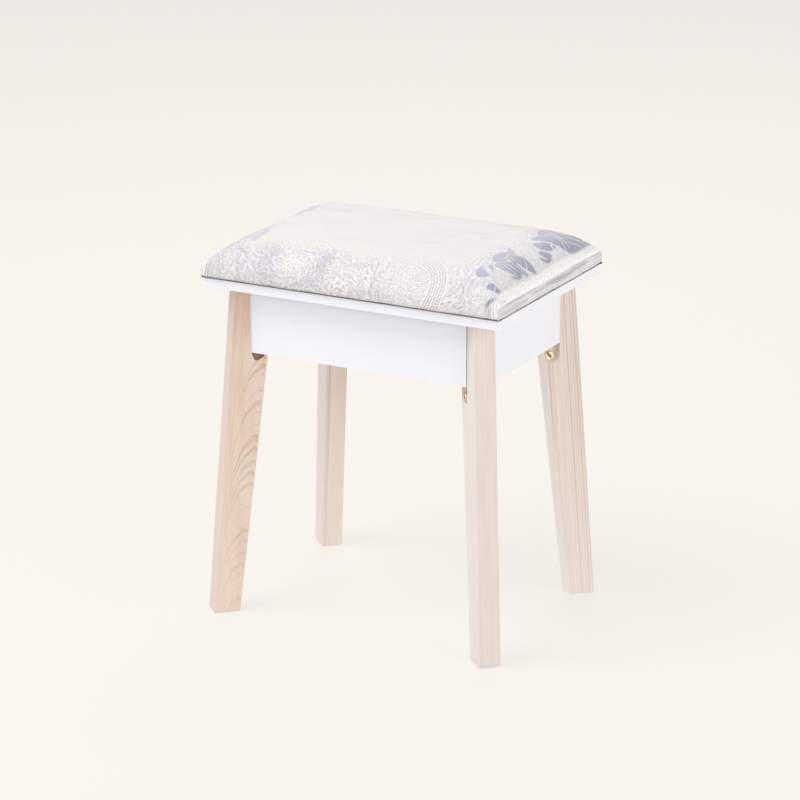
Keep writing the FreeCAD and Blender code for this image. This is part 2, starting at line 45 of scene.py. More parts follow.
class Mat:
    """A material with one Principled shader and short ways to add nodes."""

    def __init__(self, name):
        self.m = bpy.data.materials.new(name)
        self.m.use_nodes = True
        self.t = self.m.node_tree
        self.t.nodes.clear()
        self.out = self.t.nodes.new("ShaderNodeOutputMaterial")
        self.b = self.t.nodes.new("ShaderNodeBsdfPrincipled")
        self.t.links.new(self.b.outputs[0], self.out.inputs["Surface"])
        self.n = 0

    def node(self, kind, **props):
        x = self.t.nodes.new(kind)
        self.n += 1
        x.location = (-220 * (1 + self.n // 6), -260 * (self.n % 6))
        for k, v in props.items():
            setattr(x, k, v)
        return x

    def put(self, socket, value):
        if value is None:
            return
        if isinstance(value, bpy.types.NodeSocket):
            self.t.links.new(value, socket)
        else:
            if hasattr(socket.default_value, "__len__") and len(socket.default_value) == 4 and len(value) == 3:
                value = (*value, 1.0)
            socket.default_value = value

    def set(self, **sockets):
        for k, v in sockets.items():
            self.put(self.b.inputs[k.replace("_", " ")], v)

    def coords(self, which="Object"):
        return self.node("ShaderNodeTexCoord").outputs[which]

    def attr(self, name, out="Fac"):
        return self.node("ShaderNodeAttribute", attribute_name=name).outputs[out]

    def mapping(self, vec, loc=(0, 0, 0), rot=(0, 0, 0), scale=(1, 1, 1), kind="POINT"):
        x = self.node("ShaderNodeMapping", vector_type=kind)
        self.put(x.inputs["Vector"], vec)
        x.inputs["Location"].default_value = loc
        x.inputs["Rotation"].default_value = rot
        x.inputs["Scale"].default_value = scale
        return x.outputs[0]

    def noise(self, vec, scale, detail=3.0, rough=0.5, distort=0.0, out="Fac"):
        x = self.node("ShaderNodeTexNoise")
        self.put(x.inputs["Vector"], vec)
        x.inputs["Scale"].default_value = scale
        x.inputs["Detail"].default_value = detail
        x.inputs["Roughness"].default_value = rough
        x.inputs["Distortion"].default_value = distort
        return x.outputs[out]

    def voronoi(self, vec, scale, feature="F1", out="Distance", rand=1.0):
        x = self.node("ShaderNodeTexVoronoi", feature=feature)
        self.put(x.inputs["Vector"], vec)
        x.inputs["Scale"].default_value = scale
        x.inputs["Randomness"].default_value = rand
        return x.outputs[out]

    def math(self, op, a, b=0.0, c=0.0, clamp=False):
        x = self.node("ShaderNodeMath", operation=op, use_clamp=clamp)
        self.put(x.inputs[0], a)
        self.put(x.inputs[1], b)
        self.put(x.inputs[2], c)
        return x.outputs[0]

    def vmath(self, op, a, b=(0, 0, 0), out="Vector"):
        x = self.node("ShaderNodeVectorMath", operation=op)
        self.put(x.inputs[0], a)
        self.put(x.inputs[1], b)
        return x.outputs[out]

    def scale_vec(self, a, s):
        x = self.node("ShaderNodeVectorMath", operation="SCALE")
        self.put(x.inputs[0], a)
        self.put(x.inputs["Scale"], s)
        return x.outputs[0]

    def split(self, vec):
        x = self.node("ShaderNodeSeparateXYZ")
        self.put(x.inputs[0], vec)
        return x.outputs

    def join(self, x=0.0, y=0.0, z=0.0):
        n = self.node("ShaderNodeCombineXYZ")
        self.put(n.inputs[0], x)
        self.put(n.inputs[1], y)
        self.put(n.inputs[2], z)
        return n.outputs[0]

    def remap(self, v, a0, a1, b0=0.0, b1=1.0, kind="LINEAR"):
        x = self.node("ShaderNodeMapRange", interpolation_type=kind, clamp=True)
        self.put(x.inputs["Value"], v)
        for k, q in (("From Min", a0), ("From Max", a1), ("To Min", b0), ("To Max", b1)):
            x.inputs[k].default_value = q
        return x.outputs[0]

    def ramp(self, fac, stops, mode="LINEAR"):
        x = self.node("ShaderNodeValToRGB")
        self.put(x.inputs[0], fac)
        r = x.color_ramp
        r.interpolation = mode
        while len(r.elements) > 1:
            r.elements.remove(r.elements[-1])
        r.elements[0].position = stops[0][0]
        r.elements[0].color = (*stops[0][1], 1.0)
        for p, c in stops[1:]:
            r.elements.new(p).color = (*c, 1.0)
        return x.outputs[0]

    def mix(self, fac, a, b, blend="MIX"):
        x = self.node("ShaderNodeMix", data_type="RGBA", blend_type=blend, clamp_factor=True)
        self.put(x.inputs[0], fac)
        self.put(x.inputs[6], a)
        self.put(x.inputs[7], b)
        return x.outputs[2]

    def mixf(self, fac, a, b):
        x = self.node("ShaderNodeMix", data_type="FLOAT", clamp_factor=True)
        self.put(x.inputs[0], fac)
        self.put(x.inputs[2], a)
        self.put(x.inputs[3], b)
        return x.outputs[0]

    def bump(self, height, distance, strength=1.0, normal=None):
        x = self.node("ShaderNodeBump")
        self.put(x.inputs["Height"], height)
        x.inputs["Distance"].default_value = distance
        x.inputs["Strength"].default_value = strength
        if normal is not None:
            self.put(x.inputs["Normal"], normal)
        return x.outputs[0]

    def bevel(self, radius, samples=4):
        x = self.node("ShaderNodeBevel", samples=samples)
        x.inputs["Radius"].default_value = radius
        return x.outputs[0]

    def edges(self, radius, sharp=1.0):
        """1 on edges and corners, 0 on flat faces."""
        geo = self.node("ShaderNodeNewGeometry")
        d = self.vmath("DOT_PRODUCT", self.bevel(radius), geo.outputs["Normal"], out="Value")
        return self.remap(d, 1.0 - 0.16 * sharp, 0.995, 1.0, 0.0)


def srgb(r, g, b):
    """Linear colour of an sRGB triple from 0 to 255."""
    def f(c):
        c /= 255.0
        return c / 12.92 if c <= 0.04045 else ((c + 0.055) / 1.055) ** 2.4
    return (f(r), f(g), f(b))


# ------------------------------------------------------------------ wood

S2 = math.sqrt(0.5)
LEG_AT = {"front_left": (-1, -1), "front_right": (1, -1), "back_left": (-1, 1), "back_right": (1, 1)}
BOX_W, BOX_D = 0.334, 0.234


def leg_coords(k, corner):
    """(u outward, w to its right, z) in metres, from the corner of the box."""
    sx, sy = LEG_AT[corner]
    ang = math.atan2(sy, sx)
    p = k.coords("Object")
    p = k.vmath("SUBTRACT", p, (sx * BOX_W / 2, sy * BOX_D / 2, 0.0))
    x = k.node("ShaderNodeVectorRotate", rotation_type="Z_AXIS")
    k.put(x.inputs["Vector"], p)
    x.inputs["Angle"].default_value = -ang
    s = k.split(x.outputs[0])
    return k.join(s[0], k.math("MULTIPLY", s[1], -1.0), s[2])


def ring_lines(k, ring, seed, lo=0.42, hi=0.86, weak=0.35):
    """Latewood strength from a ring number: slow to darken, sharp at its end, each ring of its own strength."""
    saw = k.math("FRACT", ring)
    m = k.math("MULTIPLY", k.remap(saw, lo, hi, 0.0, 1.0, "SMOOTHSTEP"), k.remap(saw, 0.90, 0.995, 1.0, 0.0, "SMOOTHSTEP"))
    wn = k.node("ShaderNodeTexWhiteNoise", noise_dimensions="1D")
    k.put(wn.inputs["W"], k.math("ADD", k.math("FLOOR", ring), seed))
    return k.math("MULTIPLY", m, k.remap(wn.outputs[0], 0.0, 1.0, weak, 1.0))


def pine(name, vec_of, lines, colours, fibre_axis="z", rough=(0.42, 0.58), seed=0.0, extra=None):
    """Pine. lines(k, vec) gives the strength of the latewood at a point."""
    k = Mat(name)
    vec = vec_of(k)
    late_m = lines(k, vec)
    early, late, tint = colours
    st = {"z": (1, 1, 0.02), "x": (0.02, 1, 1), "y": (1, 0.02, 1)}[fibre_axis]
    fib = k.noise(k.mapping(vec, loc=(seed, seed * 1.7, 0), scale=st), 2600.0, 4.0, 0.62)
    fib2 = k.noise(k.mapping(vec, loc=(seed * 2, seed, 1), scale=tuple(0.35 if q < 1 else 1 for q in st)), 900.0, 3.0, 0.55)
    blotch = k.noise(k.mapping(vec, loc=(seed, 0, seed), scale=tuple(0.22 if q < 1 else 1 for q in st)), 38.0, 3.0, 0.5)
    streak = k.noise(k.mapping(vec, loc=(seed, seed, 0), scale=tuple(0.04 if q < 1 else 1 for q in st)), 150.0, 2.0, 0.5)
    lm = k.math("MULTIPLY", late_m, k.remap(fib, 0.25, 0.75, 0.75, 1.1))
    col = k.mix(k.remap(blotch, 0.3, 0.75, 0.0, 0.85, "SMOOTHSTEP"), early, tint)
    col = k.mix(k.remap(streak, 0.35, 0.7, 0.0, 0.22), col, late)
    col = k.mix(lm, col, late)
    col = k.mix(k.remap(fib, 0.55, 0.9, 0.0, 0.25), col, k.mix(0.5, col, late))
    col = k.mix(k.remap(fib2, 0.62, 0.80, 0.0, 0.28), col, k.mix(0.55, col, late))
    # short resin ducts, fine dark ticks along the fibre
    duct = k.voronoi(k.mapping(vec, loc=(seed, seed, seed), scale=tuple(0.07 if q < 1 else 1 for q in st)), 330.0, "F1", "Distance")
    keep = k.noise(vec, 220.0, 2.0, 0.5)
    dm = k.math("MULTIPLY", k.remap(duct, 0.03, 0.11, 1.0, 0.0), k.remap(keep, 0.52, 0.66, 0.0, 1.0))
    col = k.mix(k.math("MULTIPLY", dm, 0.25), col, tuple(0.6 * q for q in late))
    if extra is not None:
        col = extra(k, vec, col)
    # painted highlight along the edges and corners
    edge = k.edges(0.0012)
    col = k.mix(k.math("MULTIPLY", edge, 0.35), col, tuple(min(1.0, q * 1.05) for q in early))
    rgh = k.mixf(lm, rough[1], rough[0])
    rgh = k.math("ADD", rgh, k.remap(fib2, 0.3, 0.7, -0.05, 0.05))
    h = k.math("ADD", k.math("MULTIPLY", fib, 0.5), k.math("MULTIPLY", lm, 0.45))
    nrm = k.bump(h, 0.00022, 0.55)
    k.set(Base_Color=col, Roughness=rgh, Normal=nrm)
    k.b.inputs["Specular IOR Level"].default_value = 0.38
    k.b.inputs["Coat Weight"].default_value = 0.10
    k.b.inputs["Coat Roughness"].default_value = 0.32
    return k.m


def wobble(k, vec, amount, scale, long_scale, seed):
    """A slow sideways drift of the grain, in metres."""
    wv = k.mapping(vec, loc=(seed, seed * 0.6, seed * 1.3), scale=(1, 1, long_scale))
    n1 = k.math("SUBTRACT", k.noise(wv, scale, 2.5, 0.5), 0.5)
    return k.math("MULTIPLY", n1, amount)


def lin(k, s, cu, cw, cz, c0=0.0):
    """cu*u + cw*w + cz*z + c0."""
    a = k.math("ADD", k.math("MULTIPLY", s[0], cu), k.math("MULTIPLY", s[1], cw))
    return k.math("ADD", k.math("ADD", a, k.math("MULTIPLY", s[2], cz)), c0)


def straight_grain(cu, cw, cz, spacing, gain, amount, scale, long_scale, seed, uneven=0.5):
    """Quarter-sawn lines along the leg, of uneven width."""
    def f(k, vec):
        s = k.split(vec)
        x = k.math("ADD", lin(k, s, cu, cw, cz), wobble(k, vec, amount, scale, long_scale, seed))
        big = k.node("ShaderNodeTexNoise", noise_dimensions="1D")
        k.put(big.inputs["W"], k.math("MULTIPLY", x, 0.22 / spacing))
        ring = k.math("ADD", k.math("DIVIDE", x, spacing), k.math("MULTIPLY", big.outputs[0], uneven * 6.0))
        m = ring_lines(k, k.math("ADD", ring, 60.0), seed, 0.35, 0.85, 0.15)
        return k.math("MULTIPLY", m, gain)
    return f


def arched_grain(k, vec):
    """Flat-sawn arches: they rise steeply from the outer side and peak near the inner edge."""
    s = k.split(vec)
    x = k.math("ADD", lin(k, s, 1.0, 0.0, 0.12166, -0.0055), wobble(k, vec, 0.009, 32.0, 0.30, 1.3))
    t = k.math("MINIMUM", k.math("MAXIMUM", k.math("DIVIDE", x, 0.0385), -0.5), 0.88)
    drop = k.math("MULTIPLY", k.math("SUBTRACT", k.math("DIVIDE", 1.0, k.math("SUBTRACT", 1.0, t)), 1.0), 0.017)
    low = k.math("MAXIMUM", k.math("SUBTRACT", 0.009, x), 0.0)
    drop = k.math("ADD", drop, k.math("MULTIPLY", k.math("MULTIPLY", low, low), 75.0))
    z = k.math("ADD", k.math("ADD", s[2], drop), k.math("MULTIPLY", s[1], 0.22))
    z = k.math("ADD", k.math("ADD", z, wobble(k, vec, 0.014, 30.0, 0.5, 6.1)), wobble(k, vec, 0.0075, 130.0, 0.7, 4.4))
    big = k.node("ShaderNodeTexNoise", noise_dimensions="1D")
    k.put(big.inputs["W"], k.math("MULTIPLY", z, 22.0))
    ring = k.math("ADD", k.math("DIVIDE", z, 0.0150), k.math("MULTIPLY", big.outputs[0], 1.3))
    arch = ring_lines(k, k.math("ADD", ring, 60.0), 3.0, 0.66, 0.88, 0.40)
    arch = k.math("MULTIPLY", arch, k.remap(k.noise(vec, 75.0, 3.0, 0.6), 0.30, 0.62, 0.45, 1.0))
    arch = k.math("MULTIPLY", arch, k.remap(x, 0.0004, 0.0014, 0.30, 1.0))
    sx = lin(k, s, 0.75, 0.85, 0.09)
    sx = k.math("ADD", sx, wobble(k, vec, 0.004, 20.0, 0.12, 2.2))
    big2 = k.node("ShaderNodeTexNoise", noise_dimensions="1D")
    k.put(big2.inputs["W"], k.math("MULTIPLY", sx, 45.0))
    side = ring_lines(k, k.math("ADD", k.math("ADD", k.math("DIVIDE", sx, 0.0046), k.math("MULTIPLY", big2.outputs[0], 3.0)), 60.0), 8.0, 0.30, 0.85, 0.15)
    outer = k.remap(x, 0.024, 0.036, 0.0, 1.0, "SMOOTHSTEP")
    return k.mixf(outer, k.math("MULTIPLY", arch, 0.92), k.math("MULTIPLY", side, 0.75))


def inside(k, v, a, b, soft=0.0003):
    """1 between a and b."""
    return k.math("MULTIPLY", k.remap(v, a - soft, a + soft), k.remap(v, b - soft, b + soft, 1.0, 0.0))


def painted_hollow_light_and_shade(k, vec, col):
    """Painted light and shade in the scooped hollows: painted brown shade in the left one, deepest just under the
    apron, and painted paler light in the right one.
    """
    s = k.split(vec)
    zone = k.math("MULTIPLY", inside(k, s[0], -0.0362, -0.0136), inside(k, s[2], 0.3110, 0.3372))
    left = k.math("MULTIPLY", zone, inside(k, s[1], -0.0134, -0.0070))
    right = k.math("MULTIPLY", zone, inside(k, s[1], 0.0030, 0.0134))
    under = k.remap(s[2], 0.3230, 0.3345, 0.30, 0.80, "SMOOTHSTEP")
    # painted shade in the left hollow, deepest under the apron
    col = k.mix(k.math("MULTIPLY", left, under), col, srgb(128, 98, 76))
    # painted light in the right hollow
    return k.mix(k.math("MULTIPLY", right, 0.6), col, srgb(246, 236, 230))


def painted_face_light_and_shade(k, vec, col, inner, side, foot_light, turn=1.0, outer=False):
    """Painted light and shade by face: a paler or darker tint on the inner face and on one more narrow face, a painted
    shadow at the top of the leg under the board, and painted light towards the foot.
    """
    s = k.split(vec)
    x = lin(k, s, 1.0, 0.0, 0.12166, -0.0055)
    on_inner = k.remap(x, 0.0003, 0.0010, 1.0, 0.0)
    if outer:
        on_side = k.remap(lin(k, s, -1.0, 0.0, -0.08234, 0.039), 0.0003, 0.0010, 1.0, 0.0)
    else:
        on_side = k.remap(k.math("MULTIPLY", s[1], turn), -0.0124, -0.0117, 1.0, 0.0)
    # painted light or shade: a tint on the inner face and on one narrow side face
    col = k.mix(k.math("MULTIPLY", on_inner, inner[0]), col, inner[1])
    col = k.mix(k.math("MULTIPLY", on_side, side[0]), col, side[1])
    # painted shadow at the top of the leg, under the board
    col = k.mix(k.remap(s[2], 0.4150, 0.4182, 0.0, 0.50), col, srgb(150, 126, 108))
    # painted light: paler towards the foot
    return k.mix(k.math("MULTIPLY", k.remap(s[2], 0.02, 0.30, 1.0, 0.0), foot_light[0]), col, foot_light[1])


def single_line(k, vec, col):
    """One strong dark growth line down the face of the back left leg."""
    s = k.split(vec)
    x = k.math("ADD", s[1], wobble(k, vec, 0.0016, 9.0, 0.2, 5.5))
    d = k.math("ABSOLUTE", k.math("ADD", x, 0.0096))
    m = k.math("MULTIPLY", k.remap(d, 0.0005, 0.0024, 1.0, 0.0, "SMOOTHSTEP"), 0.50)
    col = k.mix(m, col, srgb(186, 158, 134))
    band = k.remap(x, -0.002, 0.006, 0.0, 1.0, "SMOOTHSTEP")
    col = k.mix(k.math("MULTIPLY", band, 0.40), col, srgb(216, 200, 182))
    col = painted_face_light_and_shade(k, vec, col, (0.0, srgb(236, 226, 220)), (0.8, srgb(204, 193, 189)), (0.35, srgb(248, 238, 230)))
    return painted_hollow_light_and_shade(k, vec, col)


def right_rear(k, vec, col):
    col = painted_face_light_and_shade(k, vec, col, (0.75, srgb(250, 246, 244)), (0.0, srgb(214, 203, 199)), (0.30, srgb(250, 240, 232)))
    return painted_hollow_light_and_shade(k, vec, col)


def left_front(k, vec, col):
    """Painted shade under the seat's edge: the wood is deeper and pinker towards the top."""
    s = k.split(vec)
    top = k.remap(s[2], 0.320, 0.395, 0.0, 0.80, "SMOOTHSTEP")
    col = k.mix(top, col, k.mix(1.0, col, srgb(232, 220, 208), "MULTIPLY"))
    col = painted_face_light_and_shade(k, vec, col, (0.0, srgb(236, 226, 220)), (0.60, srgb(208, 193, 188)), (0.12, srgb(246, 228, 216)), outer=True)
    return painted_hollow_light_and_shade(k, vec, col)


def right_front(k, vec, col):
    col = painted_face_light_and_shade(k, vec, col, (0.0, srgb(236, 226, 220)), (0.6, srgb(226, 219, 217)), (0.0, srgb(248, 238, 230)), turn=-1.0)
    return painted_hollow_light_and_shade(k, vec, col)


FACES = {"front_left": left_front, "front_right": right_front, "back_left": single_line, "back_right": right_rear}
PINE = {
    # early wood, late wood, tint
    "front_left": (srgb(229, 210, 197), srgb(194, 165, 124), srgb(220, 198, 185)),
    "front_right": (srgb(223, 211, 202), srgb(205, 191, 177), srgb(219, 207, 198)),
    "back_left": (srgb(225, 212, 200), srgb(203, 185, 166), srgb(219, 204, 191)),
    "back_right": (srgb(226, 214, 203), srgb(190, 170, 152), srgb(221, 207, 196)),
}
GRAIN = {
    "front_left": arched_grain,
    "front_right": straight_grain(0.25, 1.0, 0.02, 0.0030, 0.55, 0.0012, 14.0, 0.05, 4.1),
    "back_left": straight_grain(0.30, 1.0, 0.01, 0.0062, 0.30, 0.0040, 16.0, 0.05, 7.7),
    "back_right": straight_grain(-1.0, 0.30, -0.0823, 0.0036, 0.95, 0.0016, 16.0, 0.06, 2.9, 0.35),
}
leg_mats = {}
for i, c in enumerate(LEG_AT):
    leg_mats[c] = pine("pine_leg_" + c, lambda k, c=c: leg_coords(k, c), GRAIN[c], PINE[c], "z", seed=3.0 + 5.7 * i,
                       extra=FACES[c])
block_mat = pine(
    "pine_block", lambda k: k.coords("Object"), straight_grain(0.0, 1.0, 0.25, 0.0045, 0.8, 0.006, 18.0, 0.4, 9.2),
    (srgb(233, 214, 188), srgb(203, 172, 132), srgb(224, 201, 172)), "x", rough=(0.55, 0.72), seed=11.0,
)

# ------------------------------------------------------------------ painted board


def white_board():
    k = Mat("white_lacquered_board")
    v = k.coords("Object")
    cloud = k.noise(v, 9.0, 3.0, 0.5)
    speck = k.noise(v, 620.0, 2.0, 0.5)
    dust = k.voronoi(v, 140.0)
    col = k.mix(k.remap(cloud, 0.3, 0.7, 0.0, 1.0), srgb(236, 236, 239), srgb(233, 234, 239))
    col = k.mix(k.remap(speck, 0.62, 0.8, 0.0, 0.25), col, srgb(228, 228, 232))
    col = k.mix(k.remap(dust, 0.0, 0.035, 0.35, 0.0), col, srgb(214, 213, 212))
    # painted shade: cooler and a little darker just under the overhanging top board
    overhang_shade = k.remap(k.split(v)[2], 0.4050, 0.4135, 0.0, 1.0, "SMOOTHSTEP")
    overhang_shade = k.math("MULTIPLY", overhang_shade, k.remap(k.split(v)[2], 0.4184, 0.4192, 1.0, 0.0))
    col = k.mix(overhang_shade, col, k.mix(1.0, col, srgb(242, 242, 251), "MULTIPLY"))
    # painted highlight along the edges and corners
    edge = k.edges(0.0009)
    col = k.mix(k.math("MULTIPLY", edge, 0.5), col, srgb(247, 247, 248))
    rgh = k.math("ADD", k.remap(cloud, 0.3, 0.7, 0.33, 0.42), k.remap(speck, 0.3, 0.7, -0.02, 0.03))
    h = k.math("ADD", k.math("MULTIPLY", k.noise(v, 260.0, 2.0, 0.5), 1.0), k.math("MULTIPLY", speck, 0.3))
    k.set(Base_Color=col, Roughness=rgh, Normal=k.bump(h, 0.00010, 0.35))
    k.b.inputs["Specular IOR Level"].default_value = 0.42
    return k.m


def slot_shade(k, v):
    """1 inside the slot in the cross dowel's end. All four corners share one folded frame."""
    s = k.split(v)
    x = k.math("SUBTRACT", k.math("ABSOLUTE", s[0]), BOX_W / 2)
    y = k.math("SUBTRACT", k.math("ABSOLUTE", s[1]), BOX_D / 2)
    u = k.math("MULTIPLY", k.math("ADD", x, y), S2)
    w = k.math("MULTIPLY", k.math("MULTIPLY", k.math("SUBTRACT", x, y), S2), k.math("SIGN", k.math("MULTIPLY", s[0], s[1])))
    a = math.radians(50.0)
    du, dz = k.math("ADD", u, 0.0258), k.math("SUBTRACT", s[2], 0.3202)
    across = k.math("ADD", k.math("MULTIPLY", du, math.sin(a)), k.math("MULTIPLY", dz, math.cos(a)))
    along = k.math("SUBTRACT", k.math("MULTIPLY", du, math.cos(a)), k.math("MULTIPLY", dz, math.sin(a)))
    m = k.math("MULTIPLY", k.remap(k.math("ABSOLUTE", across), 0.00112, 0.0014, 1.0, 0.0), k.remap(k.math("ABSOLUTE", along), 0.0026, 0.0050, 0.85, 0.15))
    m2 = k.math("MULTIPLY", k.remap(k.math("ABSOLUTE", along), 0.0005, 0.0007, 1.0, 0.0), k.remap(k.math("ABSOLUTE", across), 0.0024, 0.0027, 1.0, 0.0))
    deep = k.math("MULTIPLY", k.remap(w, 0.0122, 0.0125, 1.0, 0.0), k.remap(w, 0.0085, 0.0092, 0.0, 1.0))
    return k.math("MULTIPLY", k.math("MAXIMUM", m, m2), deep)


def metal(name, base, dark, rough, scale=900.0, bump=0.00006, slot=False):
    k = Mat(name)
    v = k.coords("Object")
    fine = k.noise(k.mapping(v, scale=(1, 1, 0.25)), scale, 3.0, 0.6)
    stain = k.noise(v, 130.0, 4.0, 0.6)
    scratch = k.noise(k.mapping(v, rot=(0.4, 0.9, 0.3), scale=(1, 0.03, 1)), 1500.0, 2.0, 0.5)
    col = k.mix(k.remap(stain, 0.35, 0.7, 0.0, 1.0), base, dark)
    col = k.mix(k.remap(scratch, 0.6, 0.75, 0.0, 0.35), col, tuple(min(1.0, 1.15 * q) for q in base))
    # painted highlight along the edges and corners
    edge = k.edges(0.0005)
    col = k.mix(k.math("MULTIPLY", edge, 0.6), col, tuple(min(1.0, 1.25 * q) for q in base))
    rgh = k.math("ADD", k.remap(fine, 0.3, 0.7, rough - 0.07, rough + 0.08), k.remap(stain, 0.3, 0.7, -0.03, 0.05))
    if slot:
        sh = slot_shade(k, v)
        col = k.mix(sh, col, srgb(66, 50, 32))
        k.put(k.b.inputs["Metallic"], k.math("SUBTRACT", 0.85, k.math("MULTIPLY", sh, 0.7)))
    else:
        k.b.inputs["Metallic"].default_value = 1.0
    k.set(Base_Color=col, Roughness=rgh, Normal=k.bump(k.math("ADD", fine, scratch), bump, 0.4))
    return k.m


def plywood():
    k = Mat("seat_plywood")
    v = k.coords("Object")
    z = k.split(v)[2]
    ply = k.math("MULTIPLY", k.math("SUBTRACT", z, 0.4322), 1.0 / 0.0018)
    cross = k.math("GREATER_THAN", k.math("FRACT", k.math("MULTIPLY", ply, 0.5)), 0.5)
    long_a = k.noise(k.mapping(v, scale=(0.03, 1, 1)), 900.0, 3.0, 0.6)
    long_b = k.noise(k.mapping(v, scale=(1, 0.03, 1)), 900.0, 3.0, 0.6)
    g = k.mixf(cross, long_a, long_b)
    col = k.mix(k.remap(g, 0.3, 0.7), srgb(222, 196, 158), srgb(190, 156, 114))
    glue = k.remap(k.math("ABSOLUTE", k.math("SUBTRACT", k.math("FRACT", ply), 0.5)), 0.46, 0.5, 0.0, 0.6)
    col = k.mix(glue, col, srgb(120, 88, 60))
    k.set(Base_Color=col, Roughness=k.remap(g, 0.3, 0.7, 0.6, 0.78), Normal=k.bump(g, 0.0002, 0.5))
    return k.m


def foam():
    k = Mat("seat_foam")
    v = k.coords("Object")
    cell = k.voronoi(v, 900.0)
    big = k.noise(v, 60.0, 3.0, 0.5)
    col = k.mix(k.remap(cell, 0.1, 0.6), srgb(214, 196, 140), srgb(240, 228, 186))
    col = k.mix(k.remap(big, 0.3, 0.7, 0.0, 0.5), col, srgb(232, 214, 160))
    k.set(Base_Color=col, Roughness=k.remap(cell, 0.1, 0.6, 0.95, 0.8), Normal=k.bump(cell, 0.0006, 0.7))
    return k.m


board_mat = white_board()
brass_mat = metal("turned_brass", srgb(250, 238, 208), srgb(236, 214, 168), 0.38, slot=True)
zinc_mat = metal("zinc_plated_steel", srgb(196, 198, 202), srgb(160, 162, 168), 0.34)
black_zinc = metal("bright_steel_wire", srgb(205, 206, 208), srgb(170, 171, 174), 0.28)
ply_mat = plywood()
foam_mat = foam()

BY_NODE = {
    "top_board": board_mat, "front_apron": board_mat, "back_apron": board_mat, "left_apron": board_mat, "right_apron": board_mat,
    "seat_base_panel": ply_mat, "foam_pad": foam_mat, "cover_staples": black_zinc, "seat_screws": zinc_mat,
    "shoulder_cross_dowels": brass_mat, "leg_inserts": brass_mat, "shoulder_bolts": zinc_mat, "shoulder_washers": zinc_mat,
    "upper_leg_bolts": zinc_mat, "upper_leg_washers": zinc_mat, "block_screws": zinc_mat, "bracket_screws": zinc_mat,
    "board_brackets": zinc_mat,
}
for c in LEG_AT:
    BY_NODE[c + "_leg"] = leg_mats[c]
    BY_NODE[c + "_corner_block"] = block_mat
for name, ob in NODES.items():
    m = BY_NODE.get(name)
    if m is None:
        continue
    if not ob.data.materials:
        ob.data.materials.append(m)
    for i in range(len(ob.material_slots)):
        ob.material_slots[i].material = m

# ------------------------------------------------------------------ cushion cover: form

BOARD_TOP = 0.431
PAD_X, PAD_Y, PAD_H = 0.203, 0.1445, 0.051
LIFT = 0.0011                            # the cover's edge stands this far off the board


def half_section(half, h0, n, m, count=900):
    """Down one half section of the pad: distance from the middle, share of the crown height, length of cloth."""
    f = np.sin(np.linspace(0, math.pi / 2, count)) ** 0.9
    crown = h0 + (PAD_H - h0) * np.maximum(1 - f ** n, 0) ** m
    # the wall below bulges a little and tucks in at the board
    a = np.linspace(0, 1, 60)[1:]
    fw = 1.0 + 0.0035 * np.sin(a * math.pi * 0.9) - 0.020 * np.clip((a - 0.72) / 0.28, 0, 1) ** 2
    wall = h0 * (1 - a) + LIFT * a
    x, h = np.r_[f * 0.9985, fw] * half, np.r_[crown, wall]
    run = np.r_[0, np.cumsum(np.hypot(np.diff(x), np.diff(h)))]
    q = np.linspace(0, run[-1], 700)
    x, h = np.interp(q, run, x), np.interp(q, run, h)
    k = np.hanning(21)
    k /= k.sum()

    def smooth(v, odd):
        head = (2 * v[0] - v[10:0:-1]) if odd else v[10:0:-1]
        return np.convolve(np.r_[head, v, 2 * v[-1] - v[-2:-12:-1]], k, "valid")
    x, h = smooth(x, True), smooth(h, False)
    return x, h / PAD_H, np.r_[0, np.cumsum(np.hypot(np.diff(x), np.diff(h)))]


SEC_X = half_section(PAD_X, 0.0181, 13.0, 2.45)
SEC_Y = half_section(PAD_Y, 0.0152, 5.2, 0.78)
LX, LY = SEC_X[2][-1], SEC_Y[2][-1]      # half the cloth's length and depth
CORNER_POW, CORNER_R = 5.0, 0.008


def pad_point(p, q):
    """Point of the pad for cloth coordinates p, q from -1 to 1."""
    X = np.interp(np.abs(p) * LX, SEC_X[2], SEC_X[0]) * np.sign(p)
    Y = np.interp(np.abs(q) * LY, SEC_Y[2], SEC_Y[0]) * np.sign(q)
    ex = np.maximum(np.interp(np.abs(p) * LX, SEC_X[2], SEC_X[1]), 2e-3)
    ey = np.maximum(np.interp(np.abs(q) * LY, SEC_Y[2], SEC_Y[1]), 2e-3)
    e = (ex ** -CORNER_POW + ey ** -CORNER_POW - 1.0) ** (-1.0 / CORNER_POW)
    a = np.clip((np.abs(X) - (PAD_X - CORNER_R)) / CORNER_R, 0, None)
    b = np.clip((np.abs(Y) - (PAD_Y - CORNER_R)) / CORNER_R, 0, None)
    m = (a > 0) & (b > 0)
    a1, b1 = np.minimum(a, 1.05), np.minimum(b, 1.05)
    na = a1 * np.sqrt(1 - b1 ** 2 / 2.2)
    nb = b1 * np.sqrt(1 - a1 ** 2 / 2.2)
    X = np.where(m, (PAD_X - CORNER_R + na * CORNER_R) * np.sign(X), X)
    Y = np.where(m, (PAD_Y - CORNER_R + nb * CORNER_R) * np.sign(Y), Y)
    return np.stack([X, Y, BOARD_TOP + PAD_H * e], -1)


def pad_grid(nx, ny):
    p = np.linspace(-1, 1, nx + 1)[:, None] * np.ones((1, ny + 1))
    q = np.linspace(-1, 1, ny + 1)[None, :] * np.ones((nx + 1, 1))
    return pad_point(p, q), p, q


def rim_of(nx, ny):
    """Vertex numbers once round the border of the grid."""
    rim = [i * (ny + 1) for i in range(nx + 1)] + [nx * (ny + 1) + j for j in range(1, ny + 1)]
    return rim + [i * (ny + 1) + ny for i in range(nx - 1, -1, -1)] + [j for j in range(ny - 1, 0, -1)]


def grid_quads(nx, ny):
    i, j = np.meshgrid(np.arange(nx), np.arange(ny), indexing="ij")
    a = (i * (ny + 1) + j).ravel()
    return np.stack([a, a + ny + 1, a + ny + 2, a + 1], -1)


